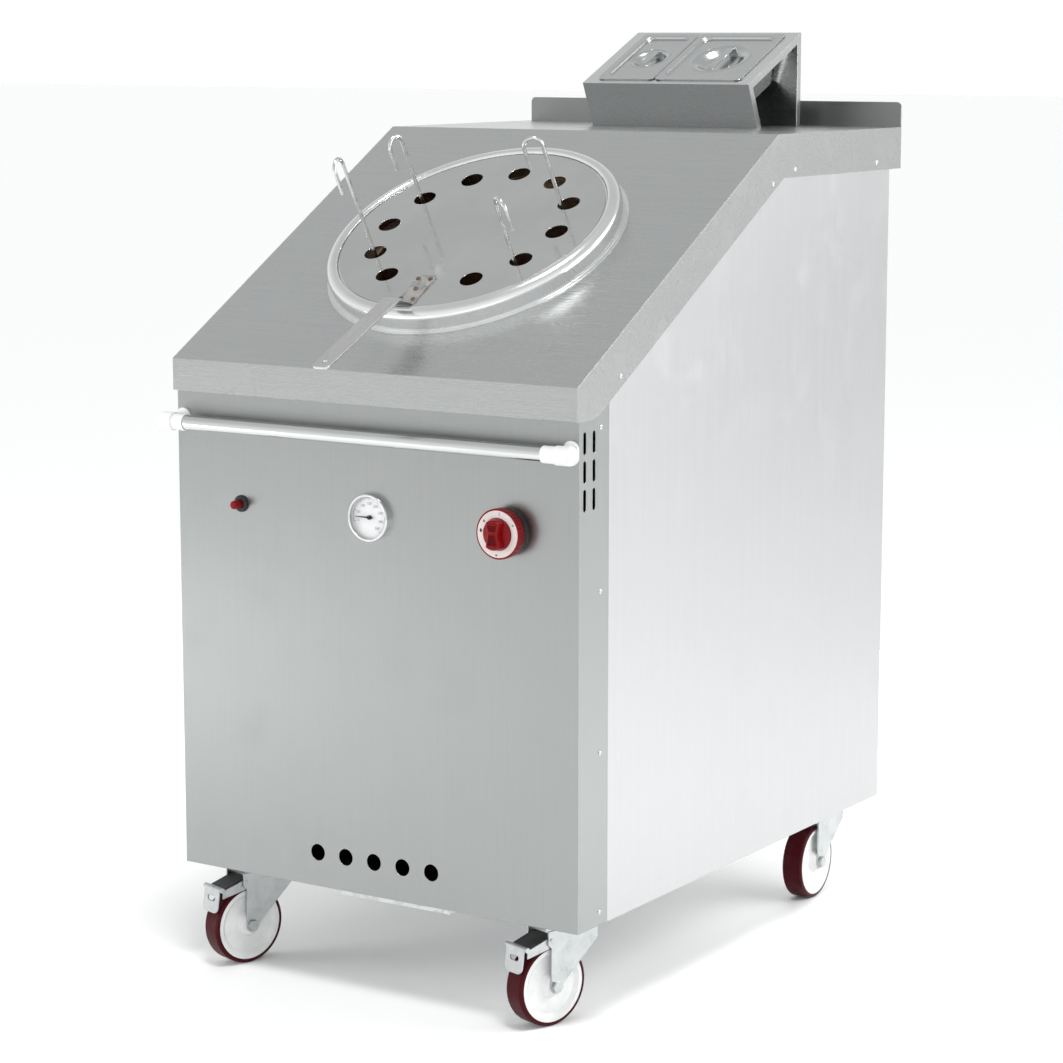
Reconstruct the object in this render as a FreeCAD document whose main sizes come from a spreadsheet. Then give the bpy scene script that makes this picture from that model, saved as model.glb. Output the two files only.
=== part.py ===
import FreeCAD, Part
import math
import os
import Sketcher

# A gas-fired clay tandoor oven in a stainless steel cabinet on four castors.
# Millimetres. X is to the right, Y to the back, Z up. The origin is on the floor, under the
# centre of the whole oven's box, whose front is the tip of the lid's handle.

SIZES = {
    # hood and cabinet
    "hood_width": 730,
    "lip_height": 49,
    "front_height": 796,
    "slope_run": 584,
    "slope_angle": 29.9,
    "shelf_depth": 428,
    "flange_depth": 68,
    "flange_bend": 60,
    "hood_sheet": 1.5,
    "upstand_height": 41,
    "upstand_corner": 8,
    "cabinet_depth": 965,
    "panel_setback": 8.5,
    "panel_sheet": 1.5,
    "return_depth": 80,
    "seam_flange": 15,
    "seam_gap": 0.3,
    "base_sheet": 2,
    "base_flange": 40,
    "ash_opening_width": 170,
    "ash_opening_length": 180,
    # openings in the front panel and its returns
    "air_hole_diameter": 26,
    "air_hole_pitch": 52.5,
    "air_hole_rise": 53,
    "air_hole_count": 5,
    "slot_width": 8,
    "slot_length": 32,
    "slot_pitch": 41,
    "slot_rows": 3,
    "slot_columns_apart": 25,
    "slot_inset": 14.5,
    "slot_top_rise": 715,
    "back_slot_length": 90,
    "back_slot_rows": 4,
    # oven mouth, lid and handle
    "mouth_up_slope": 338,
    "collar_radius": 235,
    "collar_height": 36,
    "collar_shoulder": 14,
    "collar_flange": 6,
    "collar_sheet": 1.5,
    "collar_throat": 196,
    "lid_radius": 212,
    "lid_thickness": 2,
    "lid_seat": 29.2,
    "hole_circle": 154,
    "hole_radius": 18,
    "strap_width": 30,
    "strap_thickness": 3,
    "tab_start": 134,
    "riser_start": 205,
    "riser_height": 23,
    "handle_length": 200,
    "handle_rise": 4.4,
    "hanging_hole": 4,
    "rivet_radius": 4,
    # pot, insulation and burner
    "pot_mouth": 178,
    "pot_rim_depth": 10,
    "pot_depth": 550,
    "pot_belly": 48,
    "pot_wall": 38,
    "pot_floor": 40,
    "pot_foot": 190,
    "pot_draught": 75,
    "jacket_clearance": 31.7,
    "jacket_sheet": 1.5,
    "fill_floor": 37,
    "cradle_half": 200,
    "cradle_sheet": 3,
    "burner_head": 55,
    "burner_tube": 14,
    "burner_bore": 12,
    "burner_drop": 50,
    "burner_rise": 25,
    "electrode_radius": 4,
    "electrode_tip": 1.2,
    "electrode_length": 72,
    "pipe_radius": 6,
    "pipe_bend": 22,
    "inlet_thread": 10.5,
    "inlet_reach": 20,
    "inlet_inset": 73.2,
    "inlet_rise": 150,
    "inlet_nut": 6,
    "inlet_inside": 12,
    "feed_drop": 60,
    "valve_block": 40,
    "valve_setback": 14,
    # controls
    "control_rise": 580,
    "control_offset": 242,
    "knob_radius": 37,
    "knob_skirt": 17,
    "knob_grip": 15,
    "knob_travel": 4,
    "bezel_depth": 5,
    "stem_radius": 4,
    "running_gap": 0.05,
    "dial_radius": 36,
    "dial_depth": 10,
    "dial_wall": 2,
    "dial_plate": 1,
    "needle_half_width": 1.6,
    "needle_sheet": 0.8,
    "needle_lift": 1.5,
    "pointer_hub": 3.2,
    "spindle_radius": 1.5,
    "glass_setback": 2.2,
    "glass_thickness": 1.2,
    "probe_radius": 4,
    "probe_clearance": 4,
    "button_radius": 6.5,
    "button_reach": 22,
    "button_travel": 6,
    "igniter_bezel": 13,
    "igniter_flange": 6,
    "barrel_radius": 9,
    "barrel_length": 40,
    "button_seat": 16,
    "washer_sheet": 1.5,
    # front rail
    "rail_radius": 11,
    "rail_wall": 1.5,
    "rail_rise": 702,
    "rail_standoff": 30,
    "rail_overhang": 8.8,
    "rail_end_gap": 6,
    "sleeve_radius": 12.5,
    "sleeve_length": 49,
    "elbow_radius": 14,
    "elbow_length": 27,
    "elbow_round": 6,
    "bracket_leg": 12,
    "bracket_foot_height": 36,
    "bracket_foot_depth": 4,
    # ash tray
    "tray_width": 214,
    "tray_length": 620,
    "tray_height": 19.3,
    "tray_setback": 44,
    "tray_sheet": 1,
    "tray_lip": 8,
    "tray_headroom": 0.7,
    "runner_sheet": 1.5,
    "runner_flange": 16,
    "runner_clearance": 1,
    # stand with two food pans
    "stand_width": 317,
    "stand_offset": 39,
    "stand_front": 71.5,
    "stand_top": 199,
    "stand_angle": 24.7,
    "stand_setback": 42,
    "pan_length": 176,
    "pan_inset": 12,
    "small_pan_width": 108,
    "large_pan_width": 162,
    "pan_gap": 2,
    "pan_rim": 11,
    "pan_depth": 70,
    "pan_taper": 14,
    "pan_corner": 16,
    "pan_sheet": 1,
    "pan_lid_sheet": 1.2,
    "pan_lid_rise": 5,
    "pan_dish_depth": 4,
    # castors
    "castor_height": 160,
    "castor_side_inset": 80.2,
    "castor_offset": 8,
    "castor_end_inset": 80,
    "wheel_radius": 62.5,
    "tread_half_width": 17.5,
    "tread_thickness": 6.5,
    "castor_trail": 38,
    "front_swivel": -17.5,
    "rear_swivel": 2,
    "castor_plate_length": 105,
    "castor_plate_width": 85,
    "castor_plate_sheet": 3,
    "castor_plate_corner": 6,
    "castor_bolts_across": 80,
    "castor_bolts_along": 60,
    "castor_bolt_hole": 4.5,
    "race_radius": 28,
    "race_height": 6,
    "cap_radius": 31,
    "cap_rise": 2.7,
    "kingpin_radius": 6,
    "kingpin_head": 9,
    "kingpin_head_depth": 5,
    "fork_half_gap": 22,
    "fork_flare": 7,
    "fork_sheet": 3,
    "fork_back": 36,
    "fork_back_depth": 22,
    "fork_eye": 12,
    "axle_radius": 5,
    "hub_dish": 5,
    "hub_boss": 9,
    "hub_rim": 6,
    # rocking brakes of the front castors
    "brake_ahead": 47,
    "brake_drop": 14,
    "brake_pin": 3,
    "brake_lug": 6,
    "brake_half_width": 21.2,
    "brake_sheet": 2,
    "brake_reach": 43,
    "brake_fall": 15,
    "brake_depth": 12,
    "brake_bar": 4,
    "brake_bar_half": 24,
    "brake_pad_width": 40,
    "brake_pad_height": 37,
    "brake_pad_lean": 5,
    "brake_slot_width": 20,
    "brake_slot_height": 8,
    "brake_cover_sheet": 2,
    # screws
    "screw_radius": 4,
    "slope_screw_inset": 117,
    "slope_screw_drop": 53,
    "bend_screw_inset": 16,
    "bend_screw_drop": 57,
    "shelf_screw_inset": 55,
    "back_screw_inset": 89,
    "shelf_screw_drop": 55,
    "return_screw_inset": 22,
    "return_screw_rise": 20,
    "return_screw_pitch": 238,
    "return_screw_count": 4,
    # skewers
    "skewer_radius": 3,
    "hook_radius": 14.4,
    "hook_tail": 36,
    "skewer_1_height": 175,
    "skewer_2_height": 122,
    "skewer_3_height": 123,
    "skewer_4_height": 115,
    # clearance between pieces that rest on each other
    "rest_gap": 0.3,
}

doc = FreeCAD.newDocument("ClayOven")
sheet = doc.addObject("Spreadsheet::Sheet", "Sizes")
for row, (alias, value) in enumerate(SIZES.items(), start=1):
    sheet.set(f"A{row}", alias)
    sheet.set(f"B{row}", str(value))
    sheet.setAlias(f"B{row}", alias)
doc.recompute()


class Dim:
    """A length, angle or number together with the spreadsheet formula that gives it."""

    def __init__(self, value, text):
        self.value = float(value)
        self.text = text

    def __add__(self, other):
        other = dim(other)
        return Dim(self.value + other.value, f"({self.text} + {other.text})")

    def __sub__(self, other):
        other = dim(other)
        return Dim(self.value - other.value, f"({self.text} - {other.text})")

    def __mul__(self, other):
        other = dim(other)
        return Dim(self.value * other.value, f"({self.text} * {other.text})")

    def __truediv__(self, other):
        other = dim(other)
        return Dim(self.value / other.value, f"({self.text} / {other.text})")

    def __neg__(self):
        return Dim(-self.value, f"(0 - {self.text})")

    __radd__ = __add__
    __rmul__ = __mul__

    def __rsub__(self, other):
        return dim(other) - self


def dim(x):
    """x as a Dim, so that plain numbers and sheet values mix in one formula."""
    if isinstance(x, Dim):
        return x
    return Dim(x, f"({float(x)!r})")


def cosine(angle):
    return Dim(math.cos(math.radians(angle.value)), f"cos({angle.text})")


def sine(angle):
    return Dim(math.sin(math.radians(angle.value)), f"sin({angle.text})")


def tangent(angle):
    return Dim(math.tan(math.radians(angle.value)), f"tan({angle.text})")


class Sheet:
    """Reads a driving dimension by its alias, as Sheet().hood_width."""

    def __getattr__(self, alias):
        return Dim(SIZES[alias], f"Sizes.{alias}")


S = Sheet()
ZERO = Dim(0, "0")


def bind(obj, prop, size):
    """Sets a property of obj from a size, and ties it to the sheet where the size has a name."""
    if "Sizes." in size.text:
        obj.setExpression(prop, size.text)
    else:
        parts = prop.split(".")
        target = obj
        for name in parts[:-1]:
            target = getattr(target, name)
        setattr(target, parts[-1], size.value)


# ---- sketches ---------------------------------------------------------------------------------

def new_body(label, place=None):
    """A body at place, which is (x, y, z, axis, angle) of named sizes, or at the origin."""
    body = doc.addObject("PartDesign::Body", label.title().replace("_", ""))
    body.Label = label
    body.AllowCompound = True
    if place is not None:
        set_place(body, place)
    return body


def set_place(obj, place):
    """Puts obj at (x, y, z), turned about an axis by an angle."""
    x, y, z, axis, angle = place
    obj.Placement = FreeCAD.Placement(
        FreeCAD.Vector(x.value, y.value, z.value), FreeCAD.Rotation(axis, angle.value)
    )


def new_sketch(body, role, lift=ZERO, shift=None, tilt=None):
    """A sketch on one of the body's own planes, lifted along the plane's normal.
    shift moves it in the plane and tilt, an angle, turns it about its own first axis."""
    sketch = body.newObject("Sketcher::SketchObject", "Sketch")
    plane = next(f for f in body.Origin.OriginFeatures if f.Role == role)
    sketch.AttachmentSupport = (plane, [""])
    sketch.MapMode = "FlatFace"
    shift = shift or (ZERO, ZERO)
    turn = tilt or ZERO
    sketch.AttachmentOffset = FreeCAD.Placement(
        FreeCAD.Vector(shift[0].value, shift[1].value, lift.value),
        FreeCAD.Rotation(FreeCAD.Vector(1, 0, 0), turn.value),
    )
    for prop, size in (("x", shift[0]), ("y", shift[1]), ("z", lift)):
        if "Sizes." in size.text:
            sketch.setExpression(f"AttachmentOffset.Base.{prop}", size.text)
    if "Sizes." in turn.text:
        sketch.setExpression("AttachmentOffset.Rotation.Angle", turn.text)
    return sketch


def fix_point(sketch, geometry, end, x, y):
    """Ties one point of a sketch to its two coordinates."""
    for kind, size in (("DistanceX", dim(x)), ("DistanceY", dim(y))):
        index = sketch.addConstraint(Sketcher.Constraint(kind, geometry, end, size.value))
        if "Sizes." in size.text:
            sketch.setExpression(f"Constraints[{index}]", size.text)


def draw_outline(sketch, corners, closed=True):
    """Outline or open path. A corner is (x, y), or (x, y, radius, side) where the run that
    leads to it is an arc that bulges to the left (side 1) or right (side -1) of its chord."""
    points = [(dim(c[0]), dim(c[1])) for c in corners]
    first = sketch.GeometryCount
    count = len(points) if closed else len(points) - 1
    ends = []
    for i, start in enumerate(points[:count]):
        corner = corners[(i + 1) % len(corners)]
        stop = points[(i + 1) % len(points)]
        p = FreeCAD.Vector(start[0].value, start[1].value, 0)
        q = FreeCAD.Vector(stop[0].value, stop[1].value, 0)
        if len(corner) == 2:
            sketch.addGeometry(Part.LineSegment(p, q), False)
            ends.append((1, 2))
            continue
        radius, side = dim(corner[2]), corner[3]
        chord = q - p
        left = FreeCAD.Vector(-chord.y, chord.x, 0).normalize()
        reach = math.sqrt(max(radius.value**2 - (chord.Length / 2) ** 2, 0))
        centre = (p + q) * 0.5 - left * (side * reach)
        angle_p = math.atan2(p.y - centre.y, p.x - centre.x)
        angle_q = math.atan2(q.y - centre.y, q.x - centre.x)
        circle = Part.Circle(centre, FreeCAD.Vector(0, 0, 1), radius.value)
        if side > 0:
            sketch.addGeometry(Part.ArcOfCircle(circle, angle_q, angle_p), False)
            ends.append((2, 1))
        else:
            sketch.addGeometry(Part.ArcOfCircle(circle, angle_p, angle_q), False)
            ends.append((1, 2))
    joins = [
        Sketcher.Constraint(
            "Coincident", first + i, ends[i][1], first + (i + 1) % count, ends[(i + 1) % count][0]
        )
        for i in range(count if closed else count - 1)
    ]
    sketch.addConstraint(joins)
    for i, (x, y) in enumerate(points[:count]):
        fix_point(sketch, first + i, ends[i][0], x, y)
    if not closed:
        fix_point(sketch, first + count - 1, ends[-1][1], points[-1][0], points[-1][1])
    for i in range(count):
        corner = corners[(i + 1) % len(corners)]
        if len(corner) == 4:
            radius = dim(corner[2])
            index = sketch.addConstraint(Sketcher.Constraint("Radius", first + i, radius.value))
            if "Sizes." in radius.text:
                sketch.setExpression(f"Constraints[{index}]", radius.text)


def draw_circle(sketch, x, y, radius):
    """A circle with its centre and radius tied to their sizes."""
    x, y, radius = dim(x), dim(y), dim(radius)
    geometry = sketch.addGeometry(
        Part.Circle(
            FreeCAD.Vector(x.value, y.value, 0), FreeCAD.Vector(0, 0, 1), radius.value
        ),
        False,
    )
    fix_point(sketch, geometry, 3, x, y)
    index = sketch.addConstraint(Sketcher.Constraint("Radius", geometry, radius.value))
    if "Sizes." in radius.text:
        sketch.setExpression(f"Constraints[{index}]", radius.text)


def draw_box(sketch, low_x, low_y, high_x, high_y):
    """An upright rectangle between two corners."""
    draw_outline(sketch, [(low_x, low_y), (high_x, low_y), (high_x, high_y), (low_x, high_y)])


def draw_soft_box(sketch, low_x, low_y, high_x, high_y, corner):
    """A rectangle with rounded corners."""
    low_x, low_y, high_x, high_y = dim(low_x), dim(low_y), dim(high_x), dim(high_y)
    draw_outline(
        sketch,
        [
            (low_x, high_y - corner),
            (low_x, low_y + corner),
            (low_x + corner, low_y, corner, -1),
            (high_x - corner, low_y),
            (high_x, low_y + corner, corner, -1),
            (high_x, high_y - corner),
            (high_x - corner, high_y, corner, -1),
            (low_x + corner, high_y),
            (low_x, high_y - corner, corner, -1),
        ][1:],
    )


def draw_slot(sketch, x, y, length, width):
    """A slot round (x, y) with half-round ends. It lies along x where length is the larger
    number, and along y where width is."""
    half_x, half_y = dim(length) / 2, dim(width) / 2
    if half_x.value > half_y.value:
        r = half_y
        corners = [
            (x - half_x, y),
            (x - half_x + r, y - r, r, -1),
            (x + half_x - r, y - r),
            (x + half_x, y, r, -1),
            (x + half_x - r, y + r, r, -1),
            (x - half_x + r, y + r),
            (x - half_x, y, r, -1),
        ]
    else:
        r = half_x
        corners = [
            (x, y - half_y),
            (x + r, y - half_y + r, r, -1),
            (x + r, y + half_y - r),
            (x, y + half_y, r, -1),
            (x - r, y + half_y - r, r, -1),
            (x - r, y - half_y + r),
            (x, y - half_y, r, -1),
        ]
    draw_outline(sketch, corners[1:])


# ---- features ---------------------------------------------------------------------------------

def pad(body, sketch, length, symmetric=False, back=False):
    """Raises a sketch by a length, to one side or to both."""
    feature = body.newObject("PartDesign::Pad", "Pad")
    feature.Profile = sketch
    if symmetric:
        feature.SideType = "Symmetric"
    feature.Reversed = back
    bind(feature, "Length", dim(length))
    return feature


def pocket(body, sketch, length, symmetric=False, back=False):
    """Cuts a sketch out of the body by a depth, and makes sure that it cuts."""
    doc.recompute()
    before = body.Shape.Volume
    feature = body.newObject("PartDesign::Pocket", "Pocket")
    feature.Profile = sketch
    if symmetric:
        feature.SideType = "Symmetric"
    feature.Reversed = back
    bind(feature, "Length", dim(length))
    doc.recompute()
    if not body.Shape.Volume < before - 1e-3:
        raise ValueError(f"a pocket of {body.Label} cuts nothing")
    return feature


def repeat(body, feature, sketch, axis, pitch, count):
    """Repeats a feature along one of a sketch's axes, a pitch apart."""
    pattern = body.newObject("PartDesign::LinearPattern", "Pattern")
    pattern.Originals = [feature]
    pattern.Direction = (sketch, [axis])
    pattern.Mode = "Spacing"
    bind(pattern, "Offset", pitch)
    bind(pattern, "Occurrences", dim(count))
    pattern.Reversed = True
    body.Tip = pattern
    doc.recompute()
    return pattern


def revolve(body, sketch, axis="V_Axis"):
    """Turns a sketch right round one of its own axes."""
    feature = body.newObject("PartDesign::Revolution", "Revolution")
    feature.Profile = sketch
    feature.ReferenceAxis = (sketch, [axis])
    feature.Angle = 360
    return feature


def edges_where(body, test):
    """Names of the edges of a body's last feature whose middle point and curve pass a test."""
    doc.recompute()
    shape = body.Tip.Shape
    names = []
    for number, edge in enumerate(shape.Edges, start=1):
        middle = edge.valueAt((edge.FirstParameter + edge.LastParameter) / 2)
        if test(middle, edge):
            names.append(f"Edge{number}")
    return names


def round_edges(body, radius, test):
    """Fillets the edges that pass a test."""
    names = edges_where(body, test)
    if not names:
        raise ValueError(f"{body.Label} has no edge to round")
    base = body.Tip
    feature = body.newObject("PartDesign::Fillet", "Fillet")
    feature.Base = (base, names)
    bind(feature, "Radius", dim(radius))
    return feature


def bevel_edges(body, size, test):
    """Chamfers the edges that pass a test."""
    names = edges_where(body, test)
    if not names:
        raise ValueError(f"{body.Label} has no edge to bevel")
    base = body.Tip
    feature = body.newObject("PartDesign::Chamfer", "Chamfer")
    feature.Base = (base, names)
    bind(feature, "Size", dim(size))
    return feature


def is_round(edge):
    return isinstance(edge.Curve, Part.Circle)


def near(a, b, within=0.05):
    return abs(a - b) < within


parts = []


def keep(obj):
    """Lists an object as a sub-part to write."""
    parts.append(obj)
    return obj


def group(label, members):
    """Separate solids that share one sub-part."""
    compound = doc.addObject("Part::Compound", label.title().replace("_", ""))
    compound.Label = label
    compound.Links = members
    return keep(compound)


def cut_away(label, base, tools):
    """base without its tools, as one sub-part."""
    result = base
    for tool in tools:
        cut = doc.addObject("Part::Cut", "Cut")
        cut.Base = result
        cut.Tool = tool
        result = cut
    base.Label = label + "_blank"
    result.Label = label
    return keep(result)


def tube_along(label, points, radius, bend):
    """A round bar along straight runs that are joined by tangent bends."""
    vectors = [FreeCAD.Vector(*(c.value for c in point)) for point in points]
    edges = []
    start = vectors[0]
    for before, corner, after in zip(vectors, vectors[1:], vectors[2:]):
        into = (corner - before).normalize()
        out = (after - corner).normalize()
        trim = bend.value * math.tan(into.getAngle(out) / 2)
        first = corner - into * trim
        last = corner + out * trim
        bisector = (out - into).normalize()
        centre = corner + bisector * (bend.value / math.cos(into.getAngle(out) / 2))
        middle = centre - bisector * bend.value
        edges.append(Part.LineSegment(start, first).toShape())
        edges.append(Part.Arc(first, middle, last).toShape())
        start = last
    edges.append(Part.LineSegment(start, vectors[-1]).toShape())
    wire = Part.Wire(edges)
    direction = (vectors[1] - vectors[0]).normalize()
    section = Part.Wire([Part.Circle(vectors[0], direction, radius.value).toShape()])
    feature = doc.addObject("Part::Feature", label.title().replace("_", ""))
    feature.Label = label
    feature.Shape = wire.makePipeShell([section], True, True)
    return feature


# ---- places that several pieces share ---------------------------------------------------------

slope_cos = cosine(S.slope_angle)
slope_sin = sine(S.slope_angle)
slope_tan = tangent(S.slope_angle)
handle_cos = cosine(S.handle_rise)
handle_sin = sine(S.handle_rise)
strap_top = S.lid_seat + S.rest_gap + S.lid_thickness + S.strap_thickness
handle_end = S.riser_start + S.riser_height + S.handle_length * handle_cos
handle_end_height = strap_top + S.riser_height + S.handle_length * handle_sin
front_reach = (
    handle_end * slope_cos + handle_end_height * slope_sin - S.mouth_up_slope * slope_cos
)
hood_depth = S.slope_run + S.shelf_depth
lip_y = (front_reach - hood_depth) / 2
lip_top = S.castor_height + S.front_height
shelf_z = lip_top + S.slope_run * slope_tan
mouth_y = lip_y + S.mouth_up_slope * slope_cos
mouth_z = lip_top + S.mouth_up_slope * slope_sin
panel_y = lip_y + S.panel_setback
cabinet_back = panel_y + S.cabinet_depth
body_half = S.hood_width / 2 - S.hood_sheet - S.rest_gap
control_z = S.castor_height + S.control_rise
jacket_radius = body_half - S.jacket_clearance
inlet_across = body_half - S.inlet_inset
TURN_X = FreeCAD.Vector(1, 0, 0)
TURN_Z = FreeCAD.Vector(0, 0, 1)
oven_place = (ZERO, mouth_y, mouth_z, TURN_X, S.slope_angle)


def hood_underside(y, drop):
    """Height of the slope at y, less a drop that is measured square to the slope."""
    return lip_top + (y - lip_y) * slope_tan - drop / slope_cos


# ---- hood: one folded sheet with a lip, a slope, a shelf and two side flanges ------------------

def make_hood():
    body = new_body("hood_top")
    profile = new_sketch(body, "YZ_Plane")
    back = lip_y + hood_depth - S.hood_sheet
    flange_z = shelf_z - S.flange_depth
    corner_y = lip_y + (S.flange_depth / slope_cos - S.lip_height) / slope_tan
    knee_y = lip_y + S.slope_run + (S.flange_depth / slope_cos - S.flange_depth) / slope_tan
    lip_bottom = lip_top - S.lip_height
    draw_outline(
        profile,
        [
            (lip_y, lip_bottom),
            (lip_y, lip_top),
            (lip_y + S.slope_run, shelf_z),
            (back, shelf_z),
            (back, flange_z),
            (knee_y, flange_z),
            (corner_y, lip_bottom),
        ],
    )
    pad(body, profile, S.hood_width, symmetric=True)
    round_edges(
        body,
        S.flange_bend,
        lambda p, e: near(p.y, corner_y.value) and near(p.z, lip_bottom.value),
    )
    inside = new_sketch(body, "YZ_Plane")
    front = lip_y + S.hood_sheet
    fold_y = lip_y + S.slope_run + (S.hood_sheet / slope_cos - S.hood_sheet) / slope_tan
    draw_outline(
        inside,
        [
            (front, lip_bottom - S.lip_height),
            (front, hood_underside(front, S.hood_sheet)),
            (fold_y, shelf_z - S.hood_sheet),
            (back + S.hood_sheet, shelf_z - S.hood_sheet),
            (back + S.hood_sheet, lip_bottom - S.lip_height),
        ],
    )
    pocket(body, inside, S.hood_width - S.hood_sheet * 2, symmetric=True)
    mouth = new_sketch(body, "XY_Plane", mouth_z, (ZERO, mouth_y), S.slope_angle)
    draw_circle(mouth, ZERO, ZERO, S.collar_throat + S.collar_sheet + S.rest_gap)
    pocket(body, mouth, S.hood_sheet * 8, symmetric=True)
    return keep(body)


# ---- back plate of the hood, whose top stands up behind the shelf ------------------------------

def make_back_plate():
    body = new_body("hood_back_plate")
    half = S.hood_width / 2
    back = lip_y + hood_depth
    profile = new_sketch(body, "XZ_Plane", -back)
    low = shelf_z - S.flange_depth
    high = shelf_z + S.upstand_height
    corner = S.upstand_corner
    draw_outline(
        profile,
        [
            (-half, low),
            (half, low),
            (half, high - corner),
            (half - corner, high, corner, -1),
            (-half + corner, high),
            (-half, high - corner, corner, -1),
        ],
    )
    pad(body, profile, S.hood_sheet)
    return keep(body)


# ---- cabinet panels ----------------------------------------------------------------------------

def panel_top(y):
    """Top edge of a panel at y, just under the hood's sheet."""
    return hood_underside(y, S.hood_sheet + S.rest_gap)


def make_front_panel():
    body = new_body("front_panel")
    profile = new_sketch(body, "YZ_Plane")
    back = panel_y + S.return_depth
    draw_outline(
        profile,
        [
            (panel_y, S.castor_height),
            (back, S.castor_height),
            (back, panel_top(back)),
            (panel_y, panel_top(panel_y)),
        ],
    )
    pad(body, profile, body_half * 2, symmetric=True)
    inside = new_sketch(body, "XY_Plane", S.castor_height - S.panel_sheet)
    draw_box(
        inside,
        -body_half + S.panel_sheet,
        panel_y + S.panel_sheet,
        body_half - S.panel_sheet,
        back + S.panel_sheet,
    )
    pocket(body, inside, S.front_height * 2, back=True)
    holes = new_sketch(body, "XZ_Plane", -panel_y)
    first_x = -S.air_hole_pitch * (S.air_hole_count - 1) / 2
    for index in range(round(S.air_hole_count.value)):
        x = first_x + S.air_hole_pitch * index
        draw_circle(holes, x, S.castor_height + S.air_hole_rise, S.air_hole_diameter / 2)
    draw_circle(holes, S.control_offset, control_z, S.stem_radius * 2 + 1)
    draw_circle(holes, -S.control_offset, control_z, S.igniter_bezel - 4 + S.rest_gap)
    draw_circle(holes, ZERO, control_z, S.probe_radius + S.rest_gap)
    pocket(body, holes, S.panel_sheet * 4, symmetric=True)
    slots = new_sketch(body, "YZ_Plane")
    for column in range(2):
        y = panel_y + S.slot_inset + S.slot_columns_apart * column
        draw_slot(slots, y, S.castor_height + S.slot_top_rise, S.slot_width, S.slot_length)
    top_slots = pocket(body, slots, S.hood_width, symmetric=True)
    repeat(body, top_slots, slots, "V_Axis", S.slot_pitch, S.slot_rows)
    return keep(body)


def make_side_panel(label, side):
    """Side wall behind the front panel's return, with flanges folded inwards at both ends."""
    body = new_body(label)
    front = panel_y + S.return_depth + S.seam_gap
    back = cabinet_back
    outside = new_sketch(body, "YZ_Plane", body_half * side)
    fold_y = lip_y + S.slope_run
    top = shelf_z - S.hood_sheet - S.rest_gap
    draw_outline(
        outside,
        [
            (front, S.castor_height),
            (back, S.castor_height),
            (back, top),
            (fold_y, top),
            (front, panel_top(front)),
        ],
    )
    pad(body, outside, S.seam_flange, back=side > 0)
    inside = new_sketch(body, "YZ_Plane", (body_half - S.panel_sheet) * side)
    draw_box(
        inside,
        front + S.panel_sheet,
        S.castor_height - S.panel_sheet,
        back - S.panel_sheet,
        shelf_z,
    )
    pocket(body, inside, S.seam_flange, back=side < 0)
    notch = new_sketch(body, "YZ_Plane", (body_half - S.panel_sheet) * side)
    draw_box(
        notch,
        front - S.panel_sheet,
        S.castor_height - S.panel_sheet,
        front + S.panel_sheet * 2,
        S.castor_height + S.base_flange + S.rest_gap,
    )
    pocket(body, notch, S.seam_flange, back=side < 0)
    return keep(body)


def make_back_panel():
    """Plain back wall between the side walls, with vent slots and the hole for the gas inlet."""
    body = new_body("back_panel")
    inner = body_half - S.panel_sheet - S.rest_gap
    face = cabinet_back - S.panel_sheet - S.rest_gap
    profile = new_sketch(body, "XZ_Plane", -face)
    top = shelf_z - S.hood_sheet - S.rest_gap
    draw_box(profile, -inner, S.castor_height, inner, top)
    pad(body, profile, S.panel_sheet)
    holes = new_sketch(body, "XZ_Plane", -face)
    draw_circle(
        holes, inlet_across, S.castor_height + S.inlet_rise, S.inlet_thread + S.rest_gap
    )
    pocket(body, holes, S.panel_sheet * 4, symmetric=True)
    slots = new_sketch(body, "XZ_Plane", -face)
    for column in (-1, 0, 1):
        x = S.back_slot_length * 1.5 * column
        draw_slot(slots, x, S.castor_height + S.slot_top_rise, S.back_slot_length, S.slot_width)
    top_slots = pocket(body, slots, S.panel_sheet * 4, symmetric=True)
    repeat(body, top_slots, slots, "V_Axis", S.slot_pitch, S.back_slot_rows)
    return keep(body)


def make_base():
    """Folded floor of the cabinet, with an opening over the ash tray."""
    body = new_body("base_frame")
    half = body_half - S.panel_sheet - S.rest_gap
    front = panel_y + S.panel_sheet + S.rest_gap
    back = cabinet_back - S.panel_sheet * 2 - S.rest_gap * 2
    floor = new_sketch(body, "XY_Plane", S.castor_height)
    draw_box(floor, -half, front, half, back)
    pad(body, floor, S.base_flange)
    hollow = new_sketch(body, "XY_Plane", S.castor_height + S.base_sheet)
    wall = S.base_sheet
    draw_box(hollow, -half + wall, front + wall, half - wall, back - wall)
    pocket(body, hollow, S.base_flange, back=True)
    ash = new_sketch(body, "XY_Plane", S.castor_height)
    drop_y = mouth_y + (S.pot_rim_depth + S.pot_depth) * slope_sin
    reach = S.ash_opening_length / 2
    draw_box(
        ash,
        -S.ash_opening_width / 2,
        drop_y - reach,
        S.ash_opening_width / 2,
        drop_y + reach,
    )
    pocket(body, ash, S.base_flange, symmetric=True)
    return keep(body)


# ---- oven mouth, lid and handle, drawn square to the slope -------------------------------------

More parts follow.
